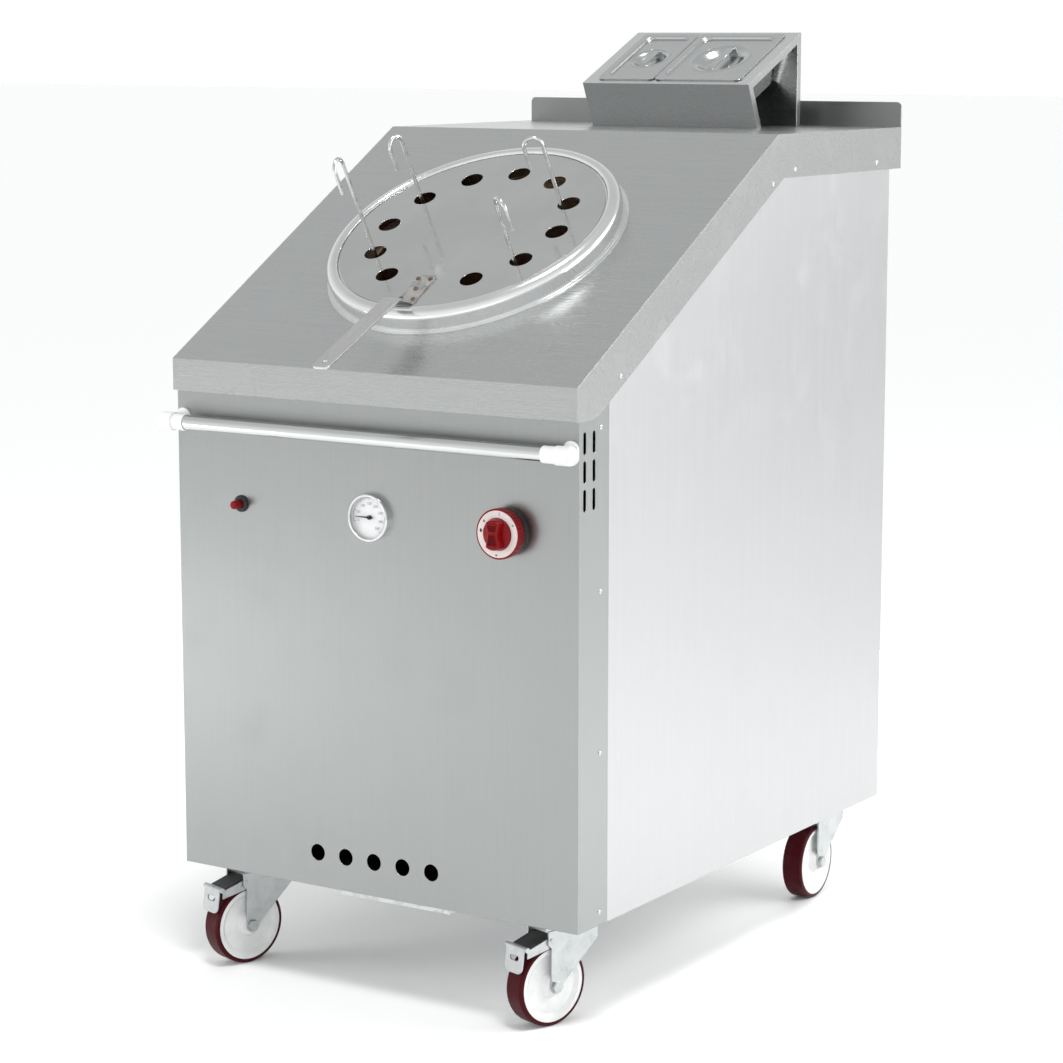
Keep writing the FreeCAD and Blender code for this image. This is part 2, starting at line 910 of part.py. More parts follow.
def make_collar():
    """Spun ring round the mouth: foot, wall, rounded shoulder, ledge for the lid and throat."""
    body = new_body("mouth_collar", oven_place)
    profile = new_sketch(body, "XZ_Plane")
    wall = S.collar_sheet
    outer = S.collar_radius
    shoulder = S.collar_shoulder
    high = S.collar_height
    rim = S.lid_radius + 2.5
    seat = S.lid_seat
    throat = S.collar_throat
    foot = outer + S.collar_flange
    bottom = -S.pot_rim_depth + S.rest_gap
    inner_bend = shoulder - wall
    rim_bend = outer - shoulder - rim
    draw_outline(
        profile,
        [
            (foot, ZERO),
            (foot, wall),
            (outer, wall),
            (outer, high - shoulder),
            (outer - shoulder, high, shoulder, -1),
            (rim, high - rim_bend, rim_bend, -1),
            (rim, seat),
            (throat, seat),
            (throat, bottom),
            (throat + wall, bottom),
            (throat + wall, seat - wall),
            (rim + wall, seat - wall),
            (rim + wall, high - rim_bend),
            (outer - shoulder, high - wall, rim_bend - wall, 1),
            (outer - wall, high - shoulder, inner_bend, 1),
            (outer - wall, ZERO),
        ],
    )
    revolve(body, profile)
    return keep(body)


def make_lid():
    """Flat lid with eleven holes for skewers, where the twelfth place holds the handle."""
    body = new_body("lid_plate", oven_place)
    low = S.lid_seat + S.rest_gap
    disc = new_sketch(body, "XY_Plane", low)
    draw_circle(disc, ZERO, ZERO, S.lid_radius)
    for place in range(1, 12):
        angle = dim(-90 + 30 * place)
        draw_circle(
            disc, S.hole_circle * cosine(angle), S.hole_circle * sine(angle), S.hole_radius
        )
    pad(body, disc, S.lid_thickness)
    return keep(body)


def make_handle():
    """Flat strap on the lid that steps up over the collar and reaches out past the hood."""
    body = new_body("lid_handle", oven_place)
    profile = new_sketch(body, "YZ_Plane")
    upper = [
        (-S.tab_start, strap_top),
        (-S.riser_start, strap_top),
        (-S.riser_start - S.riser_height, strap_top + S.riser_height),
        (-handle_end, handle_end_height),
    ]
    lean = S.strap_thickness * math.tan(math.radians(22.5))
    lower = [(y - lean, z - S.strap_thickness) for y, z in upper]
    draw_outline(profile, upper + lower[::-1])
    pad(body, profile, S.strap_width, symmetric=True)
    middle = (-handle_end - lean / 2).value
    round_edges(
        body,
        S.strap_width / 4,
        lambda p, e: near(p.y, middle, 0.5) and near(abs(p.x), S.strap_width.value / 2),
    )
    eye = new_sketch(body, "XY_Plane", handle_end_height)
    draw_circle(eye, ZERO, -handle_end + S.strap_width / 2, S.hanging_hole)
    pocket(body, eye, S.strap_thickness * 6, symmetric=True)
    return keep(body)


def make_rivets():
    """Five rivet heads that hold the handle's tab to the lid."""
    body = new_body("handle_rivets", oven_place)
    heads = new_sketch(body, "XY_Plane", strap_top)
    across = S.strap_width / 2 - 4
    tab = S.riser_start - S.tab_start
    first = -S.tab_start - tab / 7
    last = -S.riser_start + tab / 9
    for x, y in ((-across, first), (across, first), (-across, last), (across, last)):
        draw_circle(heads, x, y, S.rivet_radius)
    draw_circle(heads, ZERO, (first + last) / 2, S.rivet_radius)
    pad(body, heads, S.rivet_radius / 2)
    top = (strap_top + S.rivet_radius / 2).value
    bevel_edges(body, S.rivet_radius / 3, lambda p, e: near(p.z, top))
    return keep(body)


# For each skewer, the place of its hole on the circle, how far it stands from the middle of that
# hole as shares of the hole's radius, its height above the lid and the way that its hook turns.
SKEWERS = {
    "skewer_1": (10, -0.06, -0.06, S.skewer_1_height, 279),
    "skewer_2": (8, -0.22, -0.19, S.skewer_2_height, 263),
    "skewer_3": (4, -0.5, -0.39, S.skewer_3_height, 205),
    "skewer_4": (2, -0.44, -0.33, S.skewer_4_height, -29),
}


def make_skewer(label, hole, across, along, height, turn):
    """Round rod through one hole down to the pot's floor, bent over at the top into a hook."""
    angle = dim(-90 + 30 * hole)
    x = S.hole_circle * cosine(angle) + S.hole_radius * across
    y = S.hole_circle * sine(angle) + S.hole_radius * along
    tip = -S.pot_rim_depth - S.pot_depth + S.rest_gap
    spot = FreeCAD.Placement(
        FreeCAD.Vector(x.value, y.value, tip.value), FreeCAD.Rotation(TURN_Z, turn)
    )
    body = new_body(label)
    oven = FreeCAD.Placement(
        FreeCAD.Vector(0, mouth_y.value, mouth_z.value),
        FreeCAD.Rotation(TURN_X, S.slope_angle.value),
    )
    body.Placement = oven.multiply(spot)
    length = S.lid_seat + S.lid_thickness + height - S.hook_radius - tip
    section = new_sketch(body, "XY_Plane")
    draw_circle(section, ZERO, ZERO, S.skewer_radius)
    spine = new_sketch(body, "XZ_Plane")
    bend = S.hook_radius
    draw_outline(
        spine,
        [
            (ZERO, ZERO),
            (ZERO, length),
            (bend, length + bend, bend, 1),
            (bend * 2, length, bend, 1),
            (bend * 2, length - S.hook_tail),
        ],
        closed=False,
    )
    doc.recompute()
    pipe = body.newObject("PartDesign::AdditivePipe", "Pipe")
    pipe.Profile = section
    pipe.Spine = (spine, [""])
    doc.recompute()
    bevel_edges(
        body, S.skewer_radius * 0.8, lambda p, e: near(p.z, 0) and abs(p.x) < bend.value
    )
    return keep(body)


# ---- clay pot, insulation, jacket and cradle ---------------------------------------------------

def bow_radius(length, bow):
    """Radius of an arc over a chord of a length, which bows out by bow."""
    return (length * length / 4 + bow * bow) / (bow * 2)


pot_top = -S.pot_rim_depth
pot_floor_h = pot_top - S.pot_depth
pot_bottom = pot_floor_h - S.pot_floor
pot_rim_outer = S.pot_mouth + S.pot_wall
pot_foot_outer = S.pot_foot + S.pot_wall
jacket_floor = pot_bottom - S.rest_gap - S.fill_floor - S.rest_gap - S.jacket_sheet


def make_pot():
    """Barrel-shaped clay pot that leans with the slope, with a draught hole in its floor."""
    body = new_body("clay_pot", oven_place)
    profile = new_sketch(body, "XZ_Plane")
    inner_bow = bow_radius(S.pot_depth, S.pot_belly)
    outer_bow = bow_radius(S.pot_depth + S.pot_floor, S.pot_belly)
    draw_outline(
        profile,
        [
            (S.pot_draught, pot_bottom),
            (pot_foot_outer, pot_bottom),
            (pot_rim_outer, pot_top, outer_bow, -1),
            (S.pot_mouth, pot_top),
            (S.pot_foot, pot_floor_h, inner_bow, 1),
            (S.pot_draught, pot_floor_h),
        ],
    )
    revolve(body, profile)
    return keep(body)


def make_fill():
    """Mineral wool packed between the pot and its jacket."""
    body = new_body("insulation_fill_blank", oven_place)
    profile = new_sketch(body, "XZ_Plane")
    outer = jacket_radius - S.jacket_sheet - S.rest_gap
    bow = bow_radius(S.pot_depth + S.pot_floor, S.pot_belly)
    draw_outline(
        profile,
        [
            (S.pot_draught, jacket_floor + S.jacket_sheet + S.rest_gap),
            (outer, jacket_floor + S.jacket_sheet + S.rest_gap),
            (outer, pot_top),
            (pot_rim_outer + S.rest_gap, pot_top),
            (pot_foot_outer + S.rest_gap, pot_bottom - S.rest_gap, bow, 1),
            (S.pot_draught, pot_bottom - S.rest_gap),
        ],
    )
    revolve(body, profile)
    return cut_away("insulation_fill", body, [probe_hole("probe_way_in_fill")])


def make_jacket():
    """Sheet steel drum that holds the insulation."""
    body = new_body("insulation_jacket_blank", oven_place)
    profile = new_sketch(body, "XZ_Plane")
    sheet_steel = S.jacket_sheet
    draw_outline(
        profile,
        [
            (S.pot_draught, jacket_floor),
            (jacket_radius, jacket_floor),
            (jacket_radius, pot_top),
            (jacket_radius - sheet_steel, pot_top),
            (jacket_radius - sheet_steel, jacket_floor + sheet_steel),
            (S.pot_draught, jacket_floor + sheet_steel),
        ],
    )
    revolve(body, profile)
    return cut_away("insulation_jacket", body, [probe_hole("probe_way_in_jacket")])


def probe_end():
    """Y at which the thermometer's probe meets the outside of the pot, on the oven's middle line.
    Found where the probe's height crosses the pot's bowed wall."""
    run = S.pot_depth.value + S.pot_floor.value
    bow = bow_radius(S.pot_depth + S.pot_floor, S.pot_belly).value
    slope = math.radians(S.slope_angle.value)
    start = FreeCAD.Vector(pot_rim_outer.value, pot_top.value, 0)
    stop = FreeCAD.Vector(pot_foot_outer.value, pot_bottom.value, 0)
    middle = (start + stop) * 0.5
    side = FreeCAD.Vector(-(stop - start).y, (stop - start).x, 0).normalize()
    centre = middle - side * math.sqrt(bow**2 - (start - stop).Length ** 2 / 4)
    y = panel_y.value
    while y < mouth_y.value + run:
        up = (y - mouth_y.value) * math.cos(slope) + (control_z - mouth_z).value * math.sin(slope)
        deep = -(y - mouth_y.value) * math.sin(slope) + (control_z - mouth_z).value * math.cos(slope)
        if math.hypot(-up - centre.x, deep - centre.y) < bow:
            return y
        y += 0.05
    return y


def probe_hole(label):
    """Round way for the thermometer's probe through the jacket and the insulation."""
    hole = doc.addObject("Part::Cylinder", label.title().replace("_", ""))
    hole.Label = label
    bind(hole, "Radius", S.probe_radius + S.rest_gap)
    hole.Height = probe_end() - panel_y.value + 40
    hole.Placement = FreeCAD.Placement(
        FreeCAD.Vector(0, panel_y.value, control_z.value), FreeCAD.Rotation(TURN_X, -90)
    )
    return hole


def cradle_line(y):
    """Height just under the jacket's floor at y."""
    return hood_underside(y, -jacket_floor + S.rest_gap)


burner_low = jacket_floor - S.burner_drop
burner_top = jacket_floor + S.burner_rise
burner_axis_y = mouth_y - burner_low * slope_sin
burner_axis_z = mouth_z + burner_low * slope_cos


def make_cradle():
    """Two leaning plates and a back plate on the cabinet's floor that carry the jacket."""
    body = new_body("oven_cradle")
    front = burner_axis_y - jacket_radius * 0.8
    back = burner_axis_y + jacket_radius * 0.65
    low = S.castor_height + S.base_sheet
    half = S.cradle_half + S.cradle_sheet
    profile = new_sketch(body, "YZ_Plane")
    draw_outline(
        profile, [(front, low), (back, low), (back, cradle_line(back)), (front, cradle_line(front))]
    )
    pad(body, profile, half * 2, symmetric=True)
    inside = new_sketch(body, "YZ_Plane")
    draw_box(inside, front - 5, low - 5, back - S.cradle_sheet, shelf_z)
    pocket(body, inside, S.cradle_half * 2, symmetric=True)
    holes = new_sketch(body, "YZ_Plane")
    draw_circle(holes, burner_axis_y, burner_axis_z, S.burner_tube + S.rest_gap)
    pocket(body, holes, half * 3, symmetric=True)
    return keep(body)


def make_burner():
    """Cast burner head under the pot's draught hole, on a mixing tube across the cradle."""
    body = new_body("burner", oven_place)
    head = new_sketch(body, "XZ_Plane")
    bevel = S.burner_head / 6
    draw_outline(
        head,
        [
            (ZERO, burner_low),
            (S.burner_bore, burner_low),
            (S.burner_bore, jacket_floor - S.burner_drop / 2),
            (S.burner_head, jacket_floor - bevel / 2),
            (S.burner_head, burner_top - bevel),
            (S.burner_head - bevel, burner_top),
            (ZERO, burner_top),
        ],
    )
    revolve(body, head)
    tube_half = S.cradle_half + S.cradle_sheet * 2
    tube = new_sketch(body, "YZ_Plane")
    draw_circle(tube, ZERO, burner_low, S.burner_tube)
    pad(body, tube, tube_half * 2, symmetric=True)
    bore = new_sketch(body, "YZ_Plane", tube_half)
    draw_circle(bore, ZERO, burner_low, S.pipe_radius + S.rest_gap)
    pocket(body, bore, S.cradle_half / 2)
    return keep(body)


def make_electrode():
    """Ceramic spark electrode that stands beside the burner head."""
    body = new_body("spark_electrode", oven_place)
    stand_off = S.burner_head + S.electrode_radius * 1.5
    profile = new_sketch(body, "XZ_Plane", ZERO, (stand_off, ZERO))
    low = jacket_floor - S.electrode_length / 2
    shoulder = low + S.electrode_length * 0.78
    tip = low + S.electrode_length
    draw_outline(
        profile,
        [
            (ZERO, low),
            (S.electrode_radius, low),
            (S.electrode_radius, shoulder),
            (S.electrode_tip, shoulder + S.electrode_radius),
            (S.electrode_tip, tip),
            (ZERO, tip),
        ],
    )
    revolve(body, profile)
    clip = new_sketch(body, "XY_Plane", low)
    half = S.electrode_radius * 1.5
    draw_box(clip, S.burner_tube + S.rest_gap, -half, stand_off, half)
    pad(body, clip, S.electrode_radius / 2)
    return keep(body)


# ---- gas line ----------------------------------------------------------------------------------

valve_front = panel_y + S.valve_setback
valve_y = valve_front + S.valve_block / 2
valve_low = control_z - S.valve_block * 0.6
inlet_start = cabinet_back - S.inlet_inside


def make_valve():
    """Gas valve block behind the front panel, with a nose that guides the stem."""
    body = new_body("gas_valve")
    block = new_sketch(body, "XZ_Plane", -(valve_front + S.valve_block))
    x = S.control_offset
    half = S.valve_block / 2
    draw_box(block, x - half, valve_low, x + half, valve_low + S.valve_block)
    pad(body, block, S.valve_block)
    nose = new_sketch(body, "XZ_Plane", -valve_front)
    draw_circle(nose, x, control_z, S.stem_radius * 2)
    nose_length = valve_front - panel_y - S.panel_sheet - S.rest_gap * 2
    pad(body, nose, nose_length)
    bore = new_sketch(body, "XZ_Plane", -panel_y)
    draw_circle(bore, x, control_z, S.stem_radius + S.running_gap)
    pocket(body, bore, valve_y - panel_y)
    return keep(body)


def make_pipes():
    """Steel pipes from the inlet at the back to the valve, and from the valve to the burner."""
    low = S.castor_height + S.inlet_rise
    x = S.control_offset
    far = inlet_across
    end_x = S.cradle_half - S.cradle_sheet
    supply = tube_along(
        "supply_pipe",
        [
            (far, inlet_start, low),
            (far, valve_y, low),
            (far, valve_y, control_z),
            (x + S.valve_block / 2 + S.rest_gap, valve_y, control_z),
        ],
        S.pipe_radius,
        S.pipe_bend,
    )
    feed = tube_along(
        "burner_pipe",
        [
            (x, valve_y, valve_low - S.rest_gap),
            (x, valve_y, low - S.feed_drop),
            (x, burner_axis_y, low - S.feed_drop),
            (x, burner_axis_y, burner_axis_z),
            (end_x, burner_axis_y, burner_axis_z),
        ],
        S.pipe_radius,
        S.pipe_bend * 0.8,
    )
    return group("gas_pipes", [supply, feed])


def make_inlet():
    """Threaded gas inlet through the back wall, with a hexagonal shoulder."""
    body = new_body("gas_inlet")
    low = S.castor_height + S.inlet_rise
    thread = new_sketch(body, "XZ_Plane", -(cabinet_back + S.inlet_reach))
    draw_circle(thread, inlet_across, low, S.inlet_thread)
    pad(body, thread, S.inlet_inside + S.inlet_reach)
    nut = new_sketch(body, "XZ_Plane", -cabinet_back)
    across = S.inlet_thread * 1.5
    points = [
        (
            inlet_across + across * cosine(dim(60 * k)),
            low + across * sine(dim(60 * k)),
        )
        for k in range(6)
    ]
    draw_outline(nut, points)
    pad(body, nut, S.inlet_nut, back=True)
    bore = new_sketch(body, "XZ_Plane", -inlet_start)
    draw_circle(bore, inlet_across, low, S.pipe_radius + S.rest_gap)
    pocket(body, bore, S.cabinet_depth)
    return keep(body)


# ---- controls on the front panel ---------------------------------------------------------------

knob_back = panel_y - S.bezel_depth - S.knob_travel - S.rest_gap * 2
knob_face = knob_back - S.knob_skirt
knob_end = knob_face - S.knob_grip
grip_radius = S.knob_radius * 0.64
bezel_radius = S.knob_radius * 0.95


def make_knob_bezel():
    """Black plastic ring on the panel behind the knob."""
    body = new_body("knob_bezel")
    ring = new_sketch(body, "XZ_Plane", -panel_y)
    draw_circle(ring, S.control_offset, control_z, bezel_radius)
    draw_circle(ring, S.control_offset, control_z, S.stem_radius * 3)
    pad(body, ring, S.bezel_depth)
    front = (panel_y - S.bezel_depth).value
    bevel_edges(
        body,
        S.bezel_depth / 4,
        lambda p, e: near(p.y, front) and near(e.Curve.Radius, bezel_radius.value),
    )
    return keep(body)


def make_knob():
    """Round skirt with a raised grip that is waisted on both sides."""
    body = new_body("gas_knob")
    x = S.control_offset
    skirt = new_sketch(body, "XZ_Plane", -knob_back)
    draw_circle(skirt, x, control_z, S.knob_radius)
    pad(body, skirt, S.knob_skirt)
    grip = new_sketch(body, "XZ_Plane", -knob_face)
    draw_circle(grip, x, control_z, grip_radius)
    pad(body, grip, S.knob_grip)
    waist = new_sketch(body, "XZ_Plane", -knob_end)
    for side in (-1, 1):
        draw_circle(
            waist, x + grip_radius * 1.75 * side, control_z - grip_radius * 0.2, grip_radius
        )
    pocket(body, waist, S.knob_grip * 0.87)
    bevel_edges(
        body,
        S.knob_skirt / 8,
        lambda p, e: near(p.y, knob_face.value) and is_round(e)
        and near(e.Curve.Radius, S.knob_radius.value),
    )
    doc.recompute()
    bore = new_sketch(body, "XZ_Plane", -knob_back)
    draw_circle(bore, x, control_z, S.stem_radius)
    pocket(body, bore, S.knob_skirt, back=True)
    return keep(body)


def make_stem():
    """Valve stem between the valve and the knob."""
    body = new_body("valve_stem")
    start = valve_front + S.valve_block * 0.35
    rod = new_sketch(body, "XZ_Plane", -start)
    draw_circle(rod, S.control_offset, control_z, S.stem_radius)
    pad(body, rod, start - (knob_back - S.knob_skirt))
    return keep(body)


def make_spring_washer():
    """Washer on the stem that the return spring bears on. It slides but doesn't turn."""
    body = new_body("valve_spring_washer")
    ring = new_sketch(body, "XZ_Plane", -(panel_y - S.washer_sheet * 2))
    draw_circle(ring, S.control_offset, control_z, S.stem_radius * 2)
    draw_circle(ring, S.control_offset, control_z, S.stem_radius + S.running_gap)
    pad(body, ring, S.washer_sheet)
    return keep(body)


def make_igniter():
    """Push-button igniter: bezel and barrel through the panel, and the button in its bore."""
    x = -S.control_offset
    body = new_body("igniter_body")
    bezel = new_sketch(body, "XZ_Plane", -panel_y)
    draw_circle(bezel, x, control_z, S.igniter_bezel)
    pad(body, bezel, S.igniter_flange)
    front = (panel_y - S.igniter_flange).value
    bevel_edges(body, S.igniter_flange / 4, lambda p, e: near(p.y, front))
    barrel = new_sketch(body, "XZ_Plane", -(panel_y + S.barrel_length))
    draw_circle(barrel, x, control_z, S.barrel_radius)
    pad(body, barrel, S.barrel_length + S.igniter_flange / 2)
    bore = new_sketch(body, "XZ_Plane", -(panel_y + S.button_seat))
    draw_circle(bore, x, control_z, S.button_radius + S.running_gap)
    pocket(body, bore, S.barrel_length, back=True)
    keep(body)
    button = new_body("igniter_button")
    start = panel_y + S.button_seat - S.button_travel * 1.3
    rod = new_sketch(button, "XZ_Plane", -start)
    draw_circle(rod, x, control_z, S.button_radius)
    pad(button, rod, S.button_reach + start - panel_y)
    end = (panel_y - S.button_reach).value
    round_edges(button, S.button_radius / 4, lambda p, e: near(p.y, end))
    return keep(button)


def make_thermometer():
    """Dial thermometer: cupped case, dial, pointer on its spindle, glass and probe."""
    front = panel_y - S.dial_depth
    wall = S.dial_wall
    inner = S.dial_radius - wall
    case = new_body("thermometer_case")
    disc = new_sketch(case, "XZ_Plane", -panel_y)
    draw_circle(disc, ZERO, control_z, S.dial_radius)
    pad(case, disc, S.dial_depth)
    round_edges(case, wall * 0.9, lambda p, e: near(p.y, front.value))
    doc.recompute()
    cup = new_sketch(case, "XZ_Plane", -front)
    draw_circle(cup, ZERO, control_z, inner)
    pocket(case, cup, S.dial_depth - wall)
    eye = new_sketch(case, "XZ_Plane", -front)
    draw_circle(eye, ZERO, control_z, S.probe_radius)
    pocket(case, eye, S.dial_depth * 2)
    keep(case)
    dial = new_body("thermometer_dial")
    face = new_sketch(dial, "XZ_Plane", -(panel_y - wall))
    draw_circle(face, ZERO, control_z, inner - S.rest_gap)
    draw_circle(face, ZERO, control_z, S.probe_radius)
    pad(dial, face, S.dial_plate)
    keep(dial)
    pointer = new_body("thermometer_pointer")
    needle_y = panel_y - wall - S.dial_plate - S.needle_lift
    needle = new_sketch(pointer, "XZ_Plane", -needle_y)
    long = inner * 0.72
    tail = inner * 0.2
    half = S.needle_half_width
    draw_outline(
        needle,
        [
            (-long, control_z - half / 4),
            (tail, control_z - half),
            (tail, control_z + half),
            (-long, control_z + half / 4),
        ],
    )
    pad(pointer, needle, S.needle_sheet)
    hub = new_sketch(pointer, "XZ_Plane", -needle_y)
    draw_circle(hub, ZERO, control_z, S.pointer_hub)
    pad(pointer, hub, S.needle_sheet * 1.75)
    spindle = new_sketch(pointer, "XZ_Plane", -needle_y)
    draw_circle(spindle, ZERO, control_z, S.spindle_radius)
    pad(pointer, spindle, panel_y + S.dial_depth * 0.6 - needle_y, back=True)
    keep(pointer)
    glass = new_body("thermometer_glass")
    pane = new_sketch(glass, "XZ_Plane", -(front + S.glass_setback))
    draw_circle(pane, ZERO, control_z, inner - S.rest_gap)
    pad(glass, pane, S.glass_thickness)
    keep(glass)
    probe = new_body("thermometer_probe")
    rod = new_sketch(probe, "XZ_Plane", -(panel_y - wall))
    draw_circle(rod, ZERO, control_z, S.probe_radius)
    pad(probe, rod, dim(probe_end() - (panel_y - wall).value) - S.probe_clearance, back=True)
    bore = new_sketch(probe, "XZ_Plane", -(panel_y - wall))
    draw_circle(bore, ZERO, control_z, S.spindle_radius + S.running_gap)
    pocket(probe, bore, S.dial_depth * 1.4)
    return keep(probe)


# ---- front rail --------------------------------------------------------------------------------

def make_rail():
    """Tube across the front, in two elbows that are screwed to the panel's outer edges."""
    y = panel_y - S.rail_standoff
    z = S.castor_height + S.rail_rise
    rail_end = body_half + S.rail_overhang
    tube = new_body("rail_tube")
    ring = new_sketch(tube, "YZ_Plane")
    draw_circle(ring, y, z, S.rail_radius)
    draw_circle(ring, y, z, S.rail_radius - S.rail_wall)
    pad(tube, ring, (rail_end - S.rail_end_gap) * 2, symmetric=True)
    keep(tube)
    ends = []
    for side in (-1, 1):
        body = new_body(f"rail_bracket_{'left' if side < 0 else 'right'}")
        for radius, length in (
            (S.sleeve_radius, S.sleeve_length),
            (S.elbow_radius, S.elbow_length),
        ):
            arm = new_sketch(body, "YZ_Plane", rail_end * side)
            draw_circle(arm, y, z, radius)
            pad(body, arm, length, back=side > 0)
        end_x = rail_end.value
        round_edges(body, S.elbow_round, lambda p, e: near(abs(p.x), end_x) and is_round(e))
        doc.recompute()
        leg_x = (body_half - S.bracket_leg - S.rest_gap) * side
        leg = new_sketch(body, "XZ_Plane", -panel_y)
        draw_circle(leg, leg_x, z, S.bracket_leg)
        pad(body, leg, S.rail_standoff)
        foot = new_sketch(body, "XZ_Plane", -panel_y)
        draw_slot(foot, leg_x, z, S.bracket_leg * 2, S.bracket_foot_height)
        pad(body, foot, S.bracket_foot_depth)
        bore = new_sketch(body, "YZ_Plane", (rail_end - S.rail_end_gap + S.rest_gap) * side)
        draw_circle(bore, y, z, S.rail_radius + S.rest_gap)
        pocket(body, bore, S.sleeve_length, back=side < 0)
        ends.append(body)
    return group("rail_brackets", ends)


# ---- ash tray and its runners ------------------------------------------------------------------

tray_front = panel_y + S.tray_setback
tray_top = S.castor_height - S.base_sheet - S.tray_headroom


def make_tray():
    """Galvanised tray under the floor, open at the top, hung by lips on its two long sides."""
    body = new_body("drip_tray")
    half = S.tray_width / 2
    low = tray_top - S.tray_height
    wall = S.tray_sheet
    block = new_sketch(body, "XY_Plane", low)
    draw_box(block, -half, tray_front, half, tray_front + S.tray_length)
    pad(body, block, S.tray_height)
    hollow = new_sketch(body, "XY_Plane", low + wall)
    draw_box(
        hollow,
        -half + wall,
        tray_front + wall,
        half - wall,
        tray_front + S.tray_length - wall,
    )
    pocket(body, hollow, S.tray_height, back=True)
    lips = new_sketch(body, "XY_Plane", tray_top - wall)
    for side in (-1, 1):
        a = half * side
        b = (half + S.tray_lip) * side
        low_x, high_x = (b, a) if side < 0 else (a, b)
        draw_box(lips, low_x, tray_front, high_x, tray_front + S.tray_length)
    pad(body, lips, wall)
    return keep(body)


def make_runners():
    """Two folded rails under the floor, whose ledges carry the tray's lips."""
    half = S.tray_width / 2
    sheet_steel = S.runner_sheet
    ledge_top = tray_top - S.tray_sheet - S.rest_gap
    ledge_start = half + S.runner_clearance * 2
    web = half + S.tray_lip + S.runner_clearance
    flange_end = web + S.runner_flange
    runners = []
    for side in (-1, 1):
        body = new_body(f"tray_runner_{'left' if side < 0 else 'right'}")
        profile = new_sketch(body, "XZ_Plane", -tray_front)
        points = [
            (ledge_start, ledge_top - sheet_steel),
            (web + sheet_steel, ledge_top - sheet_steel),
            (web + sheet_steel, S.castor_height - sheet_steel),
            (flange_end, S.castor_height - sheet_steel),
            (flange_end, S.castor_height),
            (web, S.castor_height),
            (web, ledge_top),
            (ledge_start, ledge_top),
        ]
        draw_outline(profile, [(x * side, z) for x, z in points])
        pad(body, profile, S.tray_length, back=True)
        runners.append(body)
    return group("tray_runners", runners)


# ---- stand with two food pans ------------------------------------------------------------------

stand_cos = cosine(S.stand_angle)
stand_sin = sine(S.stand_angle)
stand_back = lip_y + hood_depth - S.stand_setback
stand_edge_y = stand_back - S.stand_top * stand_cos
stand_edge_z = shelf_z + S.stand_front
stand_place = (S.stand_offset, stand_edge_y, stand_edge_z, TURN_X, S.stand_angle)
pans_width = S.small_pan_width + S.pan_gap + S.large_pan_width
pan_left = -pans_width / 2
pan_split = pan_left + S.small_pan_width
pan_right = pans_width / 2


def stand_inside(inset):
    """Side view of the space inside the stand, an inset in from its outer faces."""
    front_run = (S.stand_front + 1 + inset * stand_sin) / stand_cos
    top_run = (S.stand_top * stand_cos - inset - inset * stand_sin) / stand_cos
    return [
        (
            stand_edge_y + inset * stand_cos + front_run * stand_sin,
            stand_edge_z + inset * stand_sin - front_run * stand_cos,
        ),
        (
            stand_edge_y + inset * stand_cos + inset * stand_sin,
            stand_edge_z + inset * stand_sin - inset * stand_cos,
        ),
        (
            stand_back - inset,
            stand_edge_z - inset * stand_cos + top_run * stand_sin,
        ),
        (stand_back - inset, shelf_z - 1),
    ]


def make_stand():
    """Bent steel stand: leaning front, sloping top with two openings and an upright back."""
    body = new_body("pan_stand", (S.stand_offset, ZERO, ZERO, TURN_X, ZERO))
    outside = new_sketch(body, "YZ_Plane")
    draw_outline(
        outside,
        [
            (stand_edge_y + S.stand_front * tangent(S.stand_angle), shelf_z),
            (stand_edge_y, stand_edge_z),
            (stand_back, stand_edge_z + S.stand_top * stand_sin),
            (stand_back, shelf_z),
        ],
    )
    pad(body, outside, S.stand_width, symmetric=True)
    hollow = new_sketch(body, "YZ_Plane")
    draw_outline(hollow, stand_inside(S.hood_sheet))
    pocket(body, hollow, S.stand_width - S.hood_sheet * 2, symmetric=True)
    ends = new_sketch(body, "YZ_Plane")
    draw_outline(ends, stand_inside(S.pan_inset))
    pocket(body, ends, S.stand_width * 2, symmetric=True)
    openings = new_sketch(
        body, "XY_Plane", stand_edge_z, (ZERO, stand_edge_y), S.stand_angle
    )
    for low, high in ((pan_left, pan_split), (pan_split + S.pan_gap, pan_right)):
        draw_soft_box(
            openings,
            low + S.pan_rim - 1,
            S.pan_inset + S.pan_rim - 1,
            high - S.pan_rim + 1,
            S.pan_inset + S.pan_length - S.pan_rim + 1,
            S.pan_corner,
        )
    pocket(body, openings, S.hood_sheet * 4, symmetric=True)
    return keep(body)


def make_pan(label, low, high):
    """Food pan: flat rim and a tapered tub with rounded corners."""
    body = new_body(label, stand_place)
    rim_z = S.rest_gap
    start = S.pan_inset
    stop = S.pan_inset + S.pan_length
    rim = new_sketch(body, "XY_Plane", rim_z)
    draw_soft_box(rim, low, start, high, stop, S.pan_corner)
    pad(body, rim, S.pan_sheet)
    wall = S.pan_sheet
    for inset, top, depth, kind in (
        (S.pan_rim, rim_z + wall / 2, S.pan_depth, "PartDesign::AdditiveLoft"),
        (S.pan_rim + wall, rim_z + wall * 1.01, S.pan_depth - wall, "PartDesign::SubtractiveLoft"),
    ):
        mouth = new_sketch(body, "XY_Plane", top)
        draw_soft_box(
            mouth, low + inset, start + inset, high - inset, stop - inset, S.pan_corner
        )
        foot = new_sketch(body, "XY_Plane", rim_z - depth)
        taper = S.pan_taper + inset
        draw_soft_box(
            foot, low + taper, start + taper, high - taper, stop - taper, S.pan_corner
        )
        doc.recompute()
        loft = body.newObject(kind, "Loft")
        loft.Profile = mouth
        loft.Sections = [foot]
        loft.Ruled = True
        doc.recompute()
    return keep(body)


